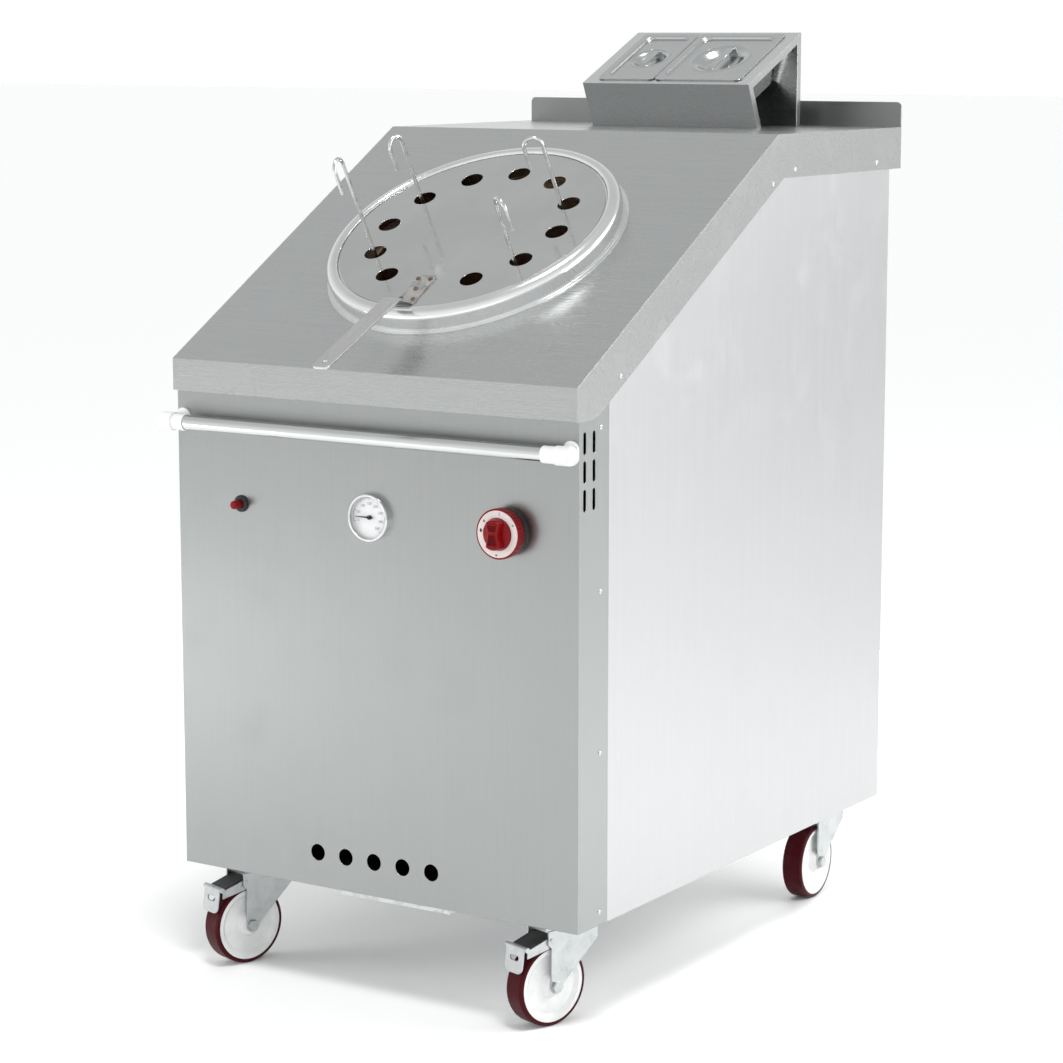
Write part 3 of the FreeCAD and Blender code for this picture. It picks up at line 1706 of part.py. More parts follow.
def make_pan_lid(label, low, high):
    """Pressed lid: flat border, raised panel, round dish and a bridge across it to lift it by."""
    body = new_body(label, stand_place)
    base_z = S.rest_gap + S.pan_sheet + S.rest_gap
    start = S.pan_inset
    stop = S.pan_inset + S.pan_length
    border = new_sketch(body, "XY_Plane", base_z)
    draw_soft_box(border, low, start, high, stop, S.pan_corner / 2)
    pad(body, border, S.pan_lid_sheet)
    raised = new_sketch(body, "XY_Plane", base_z)
    draw_soft_box(
        raised,
        low + S.pan_rim,
        start + S.pan_rim,
        high - S.pan_rim,
        stop - S.pan_rim,
        S.pan_corner,
    )
    pad(body, raised, S.pan_lid_rise)
    dish = new_sketch(body, "XY_Plane", base_z + S.pan_lid_rise)
    middle_x = (low + high) / 2
    middle_y = (start + stop) / 2
    dish_radius = (high - low) * 0.27
    draw_circle(dish, middle_x, middle_y, dish_radius)
    pocket(body, dish, S.pan_dish_depth)
    bridge = new_sketch(body, "XY_Plane", base_z)
    reach = dish_radius + S.pan_lid_sheet
    half = S.small_pan_width * 0.05
    draw_box(bridge, middle_x - reach, middle_y - half, middle_x + reach, middle_y + half)
    pad(body, bridge, S.pan_lid_rise)
    return keep(body)


# ---- castors -----------------------------------------------------------------------------------

castor_left = S.castor_offset + S.castor_side_inset - body_half
castor_right = S.castor_offset - S.castor_side_inset + body_half
castor_front_y = panel_y + S.castor_end_inset
castor_rear_y = cabinet_back - S.castor_end_inset
CASTORS = {
    "fl": (castor_left, castor_front_y, S.front_swivel),
    "fr": (castor_right, castor_front_y, S.front_swivel),
    "rl": (castor_left, castor_rear_y, S.rear_swivel),
    "rr": (castor_right, castor_rear_y, S.rear_swivel),
}
plate_low = S.castor_height - S.castor_plate_sheet
race_low = plate_low - S.race_height
cap_top = race_low - S.rest_gap
fork_top = cap_top - S.cap_rise
fork_inner = fork_top - S.fork_sheet
brake_height = fork_top - S.brake_drop


def castor_place(spot, ahead=ZERO, up=ZERO):
    """Place of a piece that lies ahead of the swivel and above the floor, in castor terms."""
    x, y, swivel = spot
    turn = FreeCAD.Rotation(TURN_Z, swivel.value)
    offset = turn.multVec(FreeCAD.Vector(0, -ahead.value, up.value))
    return FreeCAD.Placement(FreeCAD.Vector(x.value, y.value, 0) + offset, turn)


def make_castor_plate(name, spot):
    """Top plate with four bolt holes, the swivel's raceway and the kingpin."""
    x, y, _ = spot
    body = new_body(f"castor_{name}_plate", (x, y, ZERO, TURN_Z, ZERO))
    plate = new_sketch(body, "XY_Plane", plate_low)
    half_x = S.castor_plate_length / 2
    half_y = S.castor_plate_width / 2
    draw_soft_box(plate, -half_x, -half_y, half_x, half_y, S.castor_plate_corner)
    for side_x in (-1, 1):
        for side_y in (-1, 1):
            bolt_x = S.castor_bolts_across / 2 * side_x
            bolt_y = S.castor_bolts_along / 2 * side_y
            draw_circle(plate, bolt_x, bolt_y, S.castor_bolt_hole)
    pad(body, plate, S.castor_plate_sheet)
    race = new_sketch(body, "XY_Plane", race_low)
    draw_circle(race, ZERO, ZERO, S.race_radius)
    pad(body, race, S.race_height)
    head_top = fork_inner - S.rest_gap
    head_low = head_top - S.kingpin_head_depth
    pin = new_sketch(body, "XY_Plane", head_low)
    draw_circle(pin, ZERO, ZERO, S.kingpin_radius)
    pad(body, pin, race_low - head_low)
    head = new_sketch(body, "XY_Plane", head_low)
    draw_circle(head, ZERO, ZERO, S.kingpin_head)
    pad(body, head, S.kingpin_head_depth)
    return body


def fork_section(half, front):
    """Outline of the fork from above: parallel at the front, and flared from its middle back."""
    flared = half + S.fork_flare
    return [
        (-half, -front),
        (half, -front),
        (half, -S.castor_trail / 2),
        (flared, S.fork_back),
        (-flared, S.fork_back),
        (-half, -S.castor_trail / 2),
    ]


def make_fork(name, spot, braked):
    """Pressed fork with a domed swivel cap, and the axle bolt through its legs."""
    body = new_body(f"castor_{name}_legs")
    body.Placement = castor_place(spot)
    outer = S.fork_half_gap + S.fork_sheet
    trail = S.castor_trail
    eye = S.fork_eye
    leg_front = trail + eye * 0.75
    front = S.brake_ahead + S.brake_lug if braked else leg_front
    low = S.wheel_radius - eye
    plan = new_sketch(body, "XY_Plane", low)
    draw_outline(plan, fork_section(outer, front))
    pad(body, plan, fork_top - low)
    inside = new_sketch(body, "XY_Plane", low - eye)
    draw_outline(inside, fork_section(S.fork_half_gap, front * 2))
    pocket(body, inside, fork_inner - low + eye, back=True)
    below_front = new_sketch(body, "YZ_Plane")
    draw_outline(
        below_front,
        [
            (-front * 2, low - eye),
            (-trail, low - eye),
            (-trail, low),
            (-leg_front, S.wheel_radius, eye, 1),
            (-leg_front, brake_height - S.brake_lug * 2),
            (-front * 1.001, brake_height - S.brake_lug),
            (-front * 2, brake_height - S.brake_lug),
        ],
    )
    pocket(body, below_front, outer * 4, symmetric=True)
    below_back = new_sketch(body, "YZ_Plane")
    draw_outline(
        below_back,
        [
            (-trail, low - eye),
            (S.fork_back * 2, low - eye),
            (S.fork_back * 2, fork_top - S.fork_back_depth),
            (S.fork_back, fork_top - S.fork_back_depth),
            (-trail + eye, S.wheel_radius),
            (-trail, low, eye, 1),
        ],
    )
    pocket(body, below_back, outer * 4, symmetric=True)
    if braked:
        window = new_sketch(body, "XY_Plane", fork_inner - S.fork_sheet)
        draw_box(window, -S.fork_half_gap, -front * 2, S.fork_half_gap, -S.cap_radius * 1.1)
        pocket(body, window, S.fork_sheet * 3, back=True)
    cap = new_sketch(body, "XY_Plane", fork_inner)
    draw_circle(cap, ZERO, ZERO, S.cap_radius)
    pad(body, cap, cap_top - fork_inner)
    bore = new_sketch(body, "XY_Plane", fork_inner - S.fork_sheet)
    draw_circle(bore, ZERO, ZERO, S.kingpin_radius + S.running_gap)
    pocket(body, bore, S.fork_sheet * 4, back=True)
    axle_holes = new_sketch(body, "YZ_Plane")
    draw_circle(axle_holes, -trail, S.wheel_radius, S.axle_radius + S.running_gap)
    if braked:
        draw_circle(axle_holes, -S.brake_ahead, brake_height, S.brake_pin + S.running_gap)
    pocket(body, axle_holes, outer * 4, symmetric=True)
    axle = new_body(f"castor_{name}_axle")
    axle.Placement = castor_place(spot, trail, S.wheel_radius)
    rod = new_sketch(axle, "YZ_Plane")
    draw_circle(rod, ZERO, ZERO, S.axle_radius)
    pad(axle, rod, (outer + S.rest_gap) * 2, symmetric=True)
    for end in (-1, 1):
        head = new_sketch(axle, "YZ_Plane", (outer + S.rest_gap) * end)
        across = S.axle_radius * 1.85
        corners = [(across * cosine(dim(60 * k)), across * sine(dim(60 * k))) for k in range(6)]
        draw_outline(head, corners)
        pad(axle, head, S.axle_radius, back=end < 0)
    members = [body, axle]
    if braked:
        pin = new_body(f"castor_{name}_brake_pin")
        pin.Placement = castor_place(spot, S.brake_ahead, brake_height)
        rod = new_sketch(pin, "YZ_Plane")
        draw_circle(rod, ZERO, ZERO, S.brake_pin)
        pad(pin, rod, (outer + S.brake_pin / 2) * 2, symmetric=True)
        members.append(pin)
    return group(f"castor_{name}_fork", members)


def make_wheel(name, spot):
    """Nylon wheel with a dished face, and the polyurethane tread round it."""
    hub = new_body(f"castor_{name}_hub")
    hub.Placement = castor_place(spot, S.castor_trail, S.wheel_radius)
    rim = S.wheel_radius - S.tread_thickness
    half = S.tread_half_width
    boss = S.fork_half_gap - S.rest_gap
    bore = S.axle_radius + S.running_gap
    profile = new_sketch(hub, "XY_Plane")
    draw_outline(
        profile,
        [
            (-boss, bore),
            (boss, bore),
            (boss, bore + S.hub_boss),
            (half - S.hub_dish, bore + S.hub_boss * 1.7),
            (half - S.hub_dish, rim - S.hub_rim * 2),
            (half - S.rest_gap, rim - S.hub_rim),
            (half - S.rest_gap, rim),
            (-half + S.rest_gap, rim),
            (-half + S.rest_gap, rim - S.hub_rim),
            (-half + S.hub_dish, rim - S.hub_rim * 2),
            (-half + S.hub_dish, bore + S.hub_boss * 1.7),
            (-boss, bore + S.hub_boss),
        ],
    )
    revolve(hub, profile, "H_Axis")
    keep(hub)
    tread = new_body(f"castor_{name}_tread")
    tread.Placement = castor_place(spot, S.castor_trail, S.wheel_radius)
    ring = new_sketch(tread, "XY_Plane")
    bend = S.tread_thickness * 0.7
    draw_outline(
        ring,
        [
            (-half, rim),
            (half, rim),
            (half, S.wheel_radius - bend),
            (half - bend, S.wheel_radius, bend, -1),
            (-half + bend, S.wheel_radius),
            (-half, S.wheel_radius - bend, bend, -1),
        ],
    )
    revolve(tread, ring, "H_Axis")
    return keep(tread)


def brake_line(y, lift=ZERO):
    """Height of the brake channel's top face at y, in the brake's own terms, plus a lift."""
    return S.brake_lug + lift - (S.brake_lug - y) * (S.brake_fall / (S.brake_reach + S.brake_lug))


def make_brake(name, spot):
    """Rocking brake: a channel on a pin that ends in a cross bar, with a slotted pad that hangs
    from the bar in front of the tread. A cover on top of the channel is what a foot presses."""
    place = castor_place(spot, S.brake_ahead, brake_height)
    lever = new_body(f"castor_{name}_brake")
    lever.Placement = place
    rear = S.brake_lug
    front = -S.brake_reach
    side = new_sketch(lever, "YZ_Plane")
    draw_outline(
        side,
        [
            (rear, brake_line(rear)),
            (front, brake_line(front)),
            (front, brake_line(front, -S.brake_depth)),
            (rear, brake_line(rear, -S.brake_depth * 1.5)),
        ],
    )
    pad(lever, side, S.brake_half_width * 2, symmetric=True)
    inside = new_sketch(lever, "YZ_Plane")
    under = -S.brake_sheet
    draw_outline(
        inside,
        [
            (rear * 2, brake_line(rear * 2, under)),
            (front * 2, brake_line(front * 2, under)),
            (front * 2, front * 2),
            (rear * 2, front * 2),
        ],
    )
    pocket(lever, inside, (S.brake_half_width - S.brake_sheet) * 2, symmetric=True)
    bar_y = front - S.brake_bar / 2
    bar_z = brake_line(front) + S.brake_bar * 0.6
    bar = new_sketch(lever, "YZ_Plane")
    draw_circle(bar, bar_y, bar_z, S.brake_bar)
    pad(lever, bar, S.brake_bar_half * 2, symmetric=True)
    hanging = new_sketch(lever, "YZ_Plane")
    pad_low = bar_z - S.brake_pad_height
    outer_y = bar_y - S.brake_bar
    draw_outline(
        hanging,
        [
            (outer_y + S.brake_sheet, bar_z),
            (outer_y, bar_z),
            (outer_y - S.brake_pad_lean, pad_low),
            (outer_y - S.brake_pad_lean + S.brake_sheet, pad_low),
        ],
    )
    pad(lever, hanging, S.brake_pad_width, symmetric=True)
    half_pad = (S.brake_pad_width / 2).value
    round_edges(
        lever,
        S.brake_pad_width / 4,
        lambda p, e: near(p.z, pad_low.value) and near(abs(p.x), half_pad),
    )
    slot = new_sketch(lever, "XZ_Plane", -outer_y + S.brake_bar)
    slot_z = bar_z - S.brake_pad_height * 0.4
    draw_slot(slot, ZERO, slot_z, S.brake_slot_width, S.brake_slot_height)
    pocket(lever, slot, S.brake_bar * 3)
    bore = new_sketch(lever, "YZ_Plane")
    draw_circle(bore, ZERO, ZERO, S.brake_pin + S.running_gap)
    pocket(lever, bore, S.brake_half_width * 4, symmetric=True)
    keep(lever)
    cover = new_body(f"castor_{name}_pedal")
    cover.Placement = place
    block = new_sketch(cover, "YZ_Plane")
    start = rear * 0.6
    end = bar_y + S.brake_bar + S.brake_sheet
    top = S.rest_gap + S.brake_cover_sheet
    draw_outline(
        block,
        [
            (start, brake_line(start, S.rest_gap)),
            (start, brake_line(start, top)),
            (end, brake_line(end, top)),
            (end, brake_line(end, S.rest_gap)),
        ],
    )
    pad(cover, block, (S.brake_half_width - S.brake_sheet) * 2, symmetric=True)
    return keep(cover)


# ---- screws ------------------------------------------------------------------------------------

def make_screws():
    """Raised screw heads on the hood's flanges and on the front panel's returns."""
    slope_y = S.slope_screw_inset
    bend_y = S.slope_run - S.bend_screw_inset
    flange_spots = [
        (slope_y, hood_underside(lip_y + slope_y, S.slope_screw_drop)),
        (bend_y, hood_underside(lip_y + bend_y, S.bend_screw_drop)),
        (S.slope_run + S.shelf_screw_inset, shelf_z - S.shelf_screw_drop),
        (hood_depth - S.back_screw_inset, shelf_z - S.shelf_screw_drop),
    ]
    first_rise = S.castor_height + S.return_screw_rise
    return_spots = [
        (S.return_depth - S.return_screw_inset, first_rise + S.return_screw_pitch * k)
        for k in range(SIZES["return_screw_count"])
    ]
    members = []
    for side in (-1, 1):
        for label, plane, spots, start in (
            ("flange", S.hood_width / 2, flange_spots, lip_y),
            ("return", body_half, return_spots, panel_y),
        ):
            body = new_body(f"{label}_screws_{'left' if side < 0 else 'right'}")
            heads = new_sketch(body, "YZ_Plane", plane * side)
            for y, z in spots:
                draw_circle(heads, start + y, z, S.screw_radius)
            pad(body, heads, S.screw_radius / 2, back=side < 0)
            top = (plane + S.screw_radius / 2).value
            bevel_edges(body, S.screw_radius / 3, lambda p, e: near(abs(p.x), top))
            members.append(body)
    return group("cabinet_screws", members)


# ---- build everything --------------------------------------------------------------------------

make_hood()
make_back_plate()
make_front_panel()
make_side_panel("side_panel_left", -1)
make_side_panel("side_panel_right", 1)
make_back_panel()
make_base()
make_collar()
make_lid()
make_handle()
make_rivets()
for label, choices in SKEWERS.items():
    make_skewer(label, *choices)
make_pot()
make_fill()
make_jacket()
make_cradle()
make_burner()
make_electrode()
make_valve()
make_pipes()
make_inlet()
make_knob_bezel()
make_knob()
make_stem()
make_spring_washer()
make_igniter()
make_thermometer()
make_rail()
make_tray()
make_runners()
make_stand()
make_pan("pan_small", pan_left, pan_split)
make_pan("pan_large", pan_split + S.pan_gap, pan_right)
make_pan_lid("pan_lid_small", pan_left, pan_split)
make_pan_lid("pan_lid_large", pan_split + S.pan_gap, pan_right)
plates = [make_castor_plate(name, spot) for name, spot in CASTORS.items()]
group("castor_plates", plates)
for name, spot in CASTORS.items():
    make_fork(name, spot, name[0] == "f")
    make_wheel(name, spot)
make_brake("fl", CASTORS["fl"])
make_brake("fr", CASTORS["fr"])
make_screws()
doc.recompute()

for obj in doc.Objects:
    if "Invalid" in obj.State or "Error" in obj.State:
        raise ValueError(f"{obj.Label} did not build: {obj.State}")
for part in parts:
    if part.Shape.isNull() or not part.Shape.isValid():
        raise ValueError(f"{part.Label} has no valid shape")

os.makedirs("parts", exist_ok=True)
for part in parts:
    part.Shape.exportStep(f"parts/{part.Label}.step")
print(len(parts), "sub-parts")
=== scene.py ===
import math
import random

import bmesh
import bpy
from mathutils import Matrix, Vector


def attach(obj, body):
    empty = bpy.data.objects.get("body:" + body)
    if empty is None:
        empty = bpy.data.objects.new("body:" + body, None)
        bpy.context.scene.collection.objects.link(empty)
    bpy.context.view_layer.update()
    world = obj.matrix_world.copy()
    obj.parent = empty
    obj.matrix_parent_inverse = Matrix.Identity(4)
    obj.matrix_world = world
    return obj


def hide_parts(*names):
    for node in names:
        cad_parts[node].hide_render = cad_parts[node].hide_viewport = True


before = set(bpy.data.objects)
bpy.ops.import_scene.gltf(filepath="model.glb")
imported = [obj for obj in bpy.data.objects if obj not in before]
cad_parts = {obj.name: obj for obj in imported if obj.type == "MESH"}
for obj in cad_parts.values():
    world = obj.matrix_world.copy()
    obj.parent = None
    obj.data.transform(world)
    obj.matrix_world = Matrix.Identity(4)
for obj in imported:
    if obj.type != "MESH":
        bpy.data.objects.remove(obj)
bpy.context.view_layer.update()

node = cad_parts

# ---- studio ------------------------------------------------------------------------------------
# A pale floor under soft daylight, with softboxes round the oven and a pale surround that fades to
# grey above. Only the two on the right mirror in the steel; the other three brighten the shadow
# under the oven. The camera stands to the right of the front, a little above the shelf.

azimuth, elevation = math.radians(32.898), math.radians(9.452)
ahead = Vector((
    -math.sin(azimuth) * math.cos(elevation),
    math.cos(azimuth) * math.cos(elevation),
    -math.sin(elevation),
))
camera = bpy.data.objects.new("camera", bpy.data.cameras.new("camera"))
bpy.context.scene.collection.objects.link(camera)
camera.data.sensor_width = 36
camera.data.lens = 101.59
camera.data.clip_end = 200
camera.location = (2.5769, -3.9867, 1.4473)
camera.rotation_euler = ahead.to_track_quat("-Z", "Y").to_euler()
bpy.context.scene.camera = camera
bpy.context.scene.view_settings.view_transform = "Standard"

floor_mesh = bmesh.new()
bmesh.ops.create_grid(floor_mesh, x_segments=1, y_segments=1, size=60)
floor = bpy.data.objects.new("floor", bpy.data.meshes.new("floor"))
floor_mesh.to_mesh(floor.data)
floor_mesh.free()
bpy.context.scene.collection.objects.link(floor)
pale = bpy.data.materials.new("pale_floor")
pale.use_nodes = True
pale_shader = pale.node_tree.nodes["Principled BSDF"]
pale_shader.inputs["Base Color"].default_value = (0.90, 0.90, 0.90, 1)
pale_shader.inputs["Roughness"].default_value = 0.55
pale_shader.inputs["Specular IOR Level"].default_value = 0.2
floor.data.materials.append(pale)

daylight = bpy.data.objects.new("daylight", bpy.data.lights.new("daylight", "SUN"))
daylight.data.energy = 1.35
daylight.data.angle = math.radians(16)
daylight.rotation_euler = Vector((-0.24, 0.20, -0.95)).to_track_quat("-Z", "Y").to_euler()
bpy.context.scene.collection.objects.link(daylight)
for name, spot, aim, power, size in (
    ("softbox_rear", (3.4, 3.0, 2.4), (1.8, 1.8, 0), 62, 2.4),
    ("softbox_side", (1.9, 0.5, 1.2), (1.0, 0.4, 0), 16, 1.0),
    ("softbox_left", (-2.6, -2.2, 0.8), (0, 0, 0.05), 55, 1.6),
    ("softbox_low", (1.9, -2.9, 0.45), (0, 0, 0), 22, 1.3),
    ("softbox_behind", (-0.3, 2.3, 0.35), (0, 0.1, 0), 34, 1.2),
):
    softbox = bpy.data.objects.new(name, bpy.data.lights.new(name, "AREA"))
    softbox.data.energy = power
    softbox.data.size = size
    softbox.location = spot
    softbox.rotation_euler = (Vector(aim) - Vector(spot)).to_track_quat("-Z", "Y").to_euler()
    softbox.visible_camera = False
    softbox.visible_glossy = name in ("softbox_rear", "softbox_side")
    bpy.context.scene.collection.objects.link(softbox)

surround = bpy.data.worlds.new("surround")
surround.use_nodes = True
bpy.context.scene.world = surround
sky = surround.node_tree
backdrop = sky.nodes["Background"]
way = sky.nodes.new("ShaderNodeTexCoord")
split = sky.nodes.new("ShaderNodeSeparateXYZ")
fade = sky.nodes.new("ShaderNodeValToRGB")
fade.color_ramp.elements[0].position = 0.05
fade.color_ramp.elements[0].color = (1.02, 1.03, 1.03, 1)
fade.color_ramp.elements[1].position = 0.75
fade.color_ramp.elements[1].color = (0.60, 0.61, 0.61, 1)
seen = sky.nodes.new("ShaderNodeLightPath")
white = sky.nodes.new("ShaderNodeMix")
white.data_type = "RGBA"
white.inputs["B"].default_value = (1, 1, 1, 1)
sky.links.new(way.outputs["Generated"], split.inputs[0])
sky.links.new(split.outputs["Z"], fade.inputs["Fac"])
sky.links.new(fade.outputs["Color"], white.inputs["A"])
sky.links.new(seen.outputs["Is Camera Ray"], white.inputs["Factor"])
sky.links.new(white.outputs["Result"], backdrop.inputs["Color"])

# ---- hood --------------------------------------------------------------------------------------
# One folded sheet of brushed stainless steel, with a lip, a slope, a shelf and two side flanges,
# and a flat plate that closes the back and stands up behind the shelf.


def new_group(name, ins, outs):
    """An empty shader group with its sockets, and its input and output nodes."""
    group = bpy.data.node_groups.new(name, "ShaderNodeTree")
    for label, kind in ins:
        group.interface.new_socket(label, in_out="INPUT", socket_type=kind)
    for label, kind in outs:
        group.interface.new_socket(label, in_out="OUTPUT", socket_type=kind)
    return group, group.nodes.new("NodeGroupInput"), group.nodes.new("NodeGroupOutput")


def noise(tree, vector, scale, detail=2.0, rough=0.5):
    """A noise texture on some coordinates, whose value runs from 0 to 1."""
    made = tree.nodes.new("ShaderNodeTexNoise")
    made.inputs["Scale"].default_value = scale
    made.inputs["Detail"].default_value = detail
    made.inputs["Roughness"].default_value = rough
    tree.links.new(vector, made.inputs["Vector"])
    return made.outputs["Fac"]


def ramp(tree, value, low, high, dark=0.0, light=1.0):
    """Stretches a value from low..high to dark..light, clamped."""
    made = tree.nodes.new("ShaderNodeMapRange")
    for socket, number in (
        ("From Min", low), ("From Max", high), ("To Min", dark), ("To Max", light)
    ):
        made.inputs[socket].default_value = number
    tree.links.new(value, made.inputs["Value"])
    return made.outputs["Result"]


def sums(tree, operation, first, second):
    """A math node on two values, each a socket or a number."""
    made = tree.nodes.new("ShaderNodeMath")
    made.operation = operation
    for socket, value in zip(made.inputs, (first, second)):
        if isinstance(value, (int, float)):
            socket.default_value = value
        else:
            tree.links.new(value, socket)
    return made.outputs[0]


# Hairlines of a brushed or rolled sheet, and the faint clouds that handling leaves on it.
brushed_lines, lines_in, lines_out = new_group(
    "brushed_lines",
    [("Place", "NodeSocketVector"), ("Stretch", "NodeSocketVector")],
    [("Lines", "NodeSocketFloat"), ("Clouds", "NodeSocketFloat")],
)
stretched = brushed_lines.nodes.new("ShaderNodeMapping")
brushed_lines.links.new(lines_in.outputs["Place"], stretched.inputs["Vector"])
brushed_lines.links.new(lines_in.outputs["Stretch"], stretched.inputs["Scale"])
fine = noise(brushed_lines, stretched.outputs[0], 1.0, 3.0, 0.65)
coarse = noise(brushed_lines, stretched.outputs[0], 0.23, 2.0, 0.5)
both = sums(brushed_lines, "ADD", sums(brushed_lines, "MULTIPLY", fine, 0.7),
            sums(brushed_lines, "MULTIPLY", coarse, 0.3))
brushed_lines.links.new(ramp(brushed_lines, both, 0.3, 0.7), lines_out.inputs["Lines"])
clouds = noise(brushed_lines, lines_in.outputs["Place"], 4.5, 3.0, 0.6)
brushed_lines.links.new(ramp(brushed_lines, clouds, 0.35, 0.65), lines_out.inputs["Clouds"])

# Rounded edges: the normal leans over each edge, and the mask is 1 along it. The finishes lighten their
# colour with the mask, as a painted highlight, and make the edges smoother.
rounded_edge_highlight, _, edges_out = new_group(
    "rounded_edge_highlight",
    [],
    [("Normal", "NodeSocketVector"), ("Edge", "NodeSocketFloat")],
)
round_over = rounded_edge_highlight.nodes.new("ShaderNodeBevel")
round_over.samples = 4
round_over.inputs["Radius"].default_value = 0.0012
flat = rounded_edge_highlight.nodes.new("ShaderNodeNewGeometry")
lean = rounded_edge_highlight.nodes.new("ShaderNodeVectorMath")
lean.operation = "DOT_PRODUCT"
rounded_edge_highlight.links.new(round_over.outputs[0], lean.inputs[0])
rounded_edge_highlight.links.new(flat.outputs["Normal"], lean.inputs[1])
rounded_edge_highlight.links.new(round_over.outputs[0], edges_out.inputs["Normal"])
rounded_edge_highlight.links.new(ramp(rounded_edge_highlight, lean.outputs["Value"], 0.995, 0.8), edges_out.inputs["Edge"])

# Smears, splashes and dust that gather on a working surface, from clean, 0, to marked, 1.
kitchen_marks, marks_in, marks_out = new_group(
    "kitchen_marks",
    [("Place", "NodeSocketVector")],
    [("Smears", "NodeSocketFloat"), ("Specks", "NodeSocketFloat")],
)
smear = noise(kitchen_marks, marks_in.outputs["Place"], 11.0, 5.0, 0.7)
kitchen_marks.links.new(ramp(kitchen_marks, smear, 0.52, 0.75), marks_out.inputs["Smears"])
speck = noise(kitchen_marks, marks_in.outputs["Place"], 210.0, 2.0, 0.5)
kitchen_marks.links.new(ramp(kitchen_marks, speck, 0.66, 0.74), marks_out.inputs["Specks"])


class Finish:
    """A material on object coordinates, with the sockets that its own section links up."""

    def __init__(self, name, metallic, roughness, place=(0, 0, 0), turn=(0, 0, 0)):
        self.material = bpy.data.materials.new(name)
        self.material.use_nodes = True
        self.tree = self.material.node_tree
        self.shader = self.tree.nodes["Principled BSDF"]
        self.shader.inputs["Metallic"].default_value = metallic
        self.shader.inputs["Roughness"].default_value = roughness
        coordinates = self.tree.nodes.new("ShaderNodeTexCoord")
        moved = self.tree.nodes.new("ShaderNodeMapping")
        moved.vector_type = "TEXTURE"
        moved.inputs["Location"].default_value = place
        moved.inputs["Rotation"].default_value = turn
        self.tree.links.new(coordinates.outputs["Object"], moved.inputs["Vector"])
        self.place = moved.outputs[0]

    def effect(self, group, **settings):
        """Puts one of the shared effects in, at this piece's place."""
        made = self.tree.nodes.new("ShaderNodeGroup")
        made.node_tree = group
        if "Place" in made.inputs:
            self.tree.links.new(self.place, made.inputs["Place"])
        for socket, value in settings.items():
            made.inputs[socket].default_value = value
        return made.outputs

    def blend(self, factor, first, second, mode="MIX"):
        """Colour that runs from first to second with a factor."""
        made = self.tree.nodes.new("ShaderNodeMix")
        made.data_type = "RGBA"
        made.blend_type = mode
        for socket, value in ((made.inputs[0], factor), (made.inputs[6], first), (made.inputs[7], second)):
            if isinstance(value, (int, float)):
                socket.default_value = value
            elif isinstance(value, tuple):
                socket.default_value = (*value, 1)
            else:
                self.tree.links.new(value, socket)
        return made.outputs[2]

    def colour(self, value):
        self.tree.links.new(value, self.shader.inputs["Base Color"])

    def rough(self, value):
        self.tree.links.new(value, self.shader.inputs["Roughness"])

    def relief(self, height, depth, strength=1.0, normal=None):
        """Bumps the surface by a height, whose full range is depth metres."""
        bump = self.tree.nodes.new("ShaderNodeBump")
        bump.inputs["Distance"].default_value = depth
        bump.inputs["Strength"].default_value = strength
        self.tree.links.new(height, bump.inputs["Height"])
        if normal is not None:
            self.tree.links.new(normal, bump.inputs["Normal"])
        self.tree.links.new(bump.outputs[0], self.shader.inputs["Normal"])


def steel_sheet(name, tone, roughness, stretch, edges=True, flank_shade=0.0):
    """Brushed stainless steel whose hairlines run where stretch is smallest. Faces turned sideways or to
    the front get painted shade by the flank factor, and with edges set, the edges a painted highlight."""
    made = Finish(name, 1.0, roughness)
    lines = made.effect(brushed_lines, Stretch=stretch)
    marks = made.effect(kitchen_marks)
    dark = tuple(c * 0.955 for c in tone)
    light = tuple(min(1.0, c * 1.03) for c in tone)
    colour = made.blend(lines["Lines"], dark, light)
    colour = made.blend(sums(made.tree, "MULTIPLY", lines["Clouds"], 0.22), colour, tone)
    # Painted shade: faces turned sideways or to the front are darkened towards 0.62 of the tone.
    if flank_shade:
        aspect = made.tree.nodes.new("ShaderNodeNewGeometry")
        sides = made.tree.nodes.new("ShaderNodeSeparateXYZ")
        made.tree.links.new(aspect.outputs["Normal"], sides.inputs[0])
        outward = sums(made.tree, "ABSOLUTE", sides.outputs["X"], 0)
        forward = sums(made.tree, "MULTIPLY", sides.outputs["Y"], -0.81)
        flank = ramp(made.tree, sums(made.tree, "MAXIMUM", outward, forward), 0.6, 0.9, 0, flank_shade)
        colour = made.blend(flank, colour, tuple(c * 0.62 for c in tone))
    grain = ramp(made.tree, lines["Lines"], 0, 1, roughness - 0.02, roughness + 0.03)
    smeared = sums(made.tree, "MULTIPLY", marks["Smears"], 0.07)
    rough = sums(made.tree, "ADD", grain, smeared)
    if edges:
        rim = made.effect(rounded_edge_highlight)
        # Painted highlight: the edges are lightened towards near white.
        colour = made.blend(sums(made.tree, "MULTIPLY", rim["Edge"], 0.35), colour, (0.93, 0.93, 0.92))
        rough = sums(made.tree, "SUBTRACT", rough, sums(made.tree, "MULTIPLY", rim["Edge"], 0.08))
        made.relief(lines["Lines"], 0.00001, 0.2, rim["Normal"])
    else:
        made.relief(lines["Lines"], 0.00001, 0.2)
    made.colour(colour)
    made.rough(rough)
    return made.material


def dress(material, *names):
    """Gives CAD pieces their finish."""
    for name in names:
        for place in node[name].material_slots:
            place.material = material


# The hood's faces turned sideways or to the front get painted shade through the flank factor.
hood_steel = steel_sheet("hood_steel", (0.565, 0.575, 0.575), 0.27, (9, 800, 800), flank_shade=0.65)
dress(hood_steel, "hood_top")
# The back plate is given a much darker tone than the hood: a painted dark reflection.
dress(steel_sheet("back_plate_steel_darkened", (0.265, 0.27, 0.27), 0.34, (9, 800, 800)), "hood_back_plate")
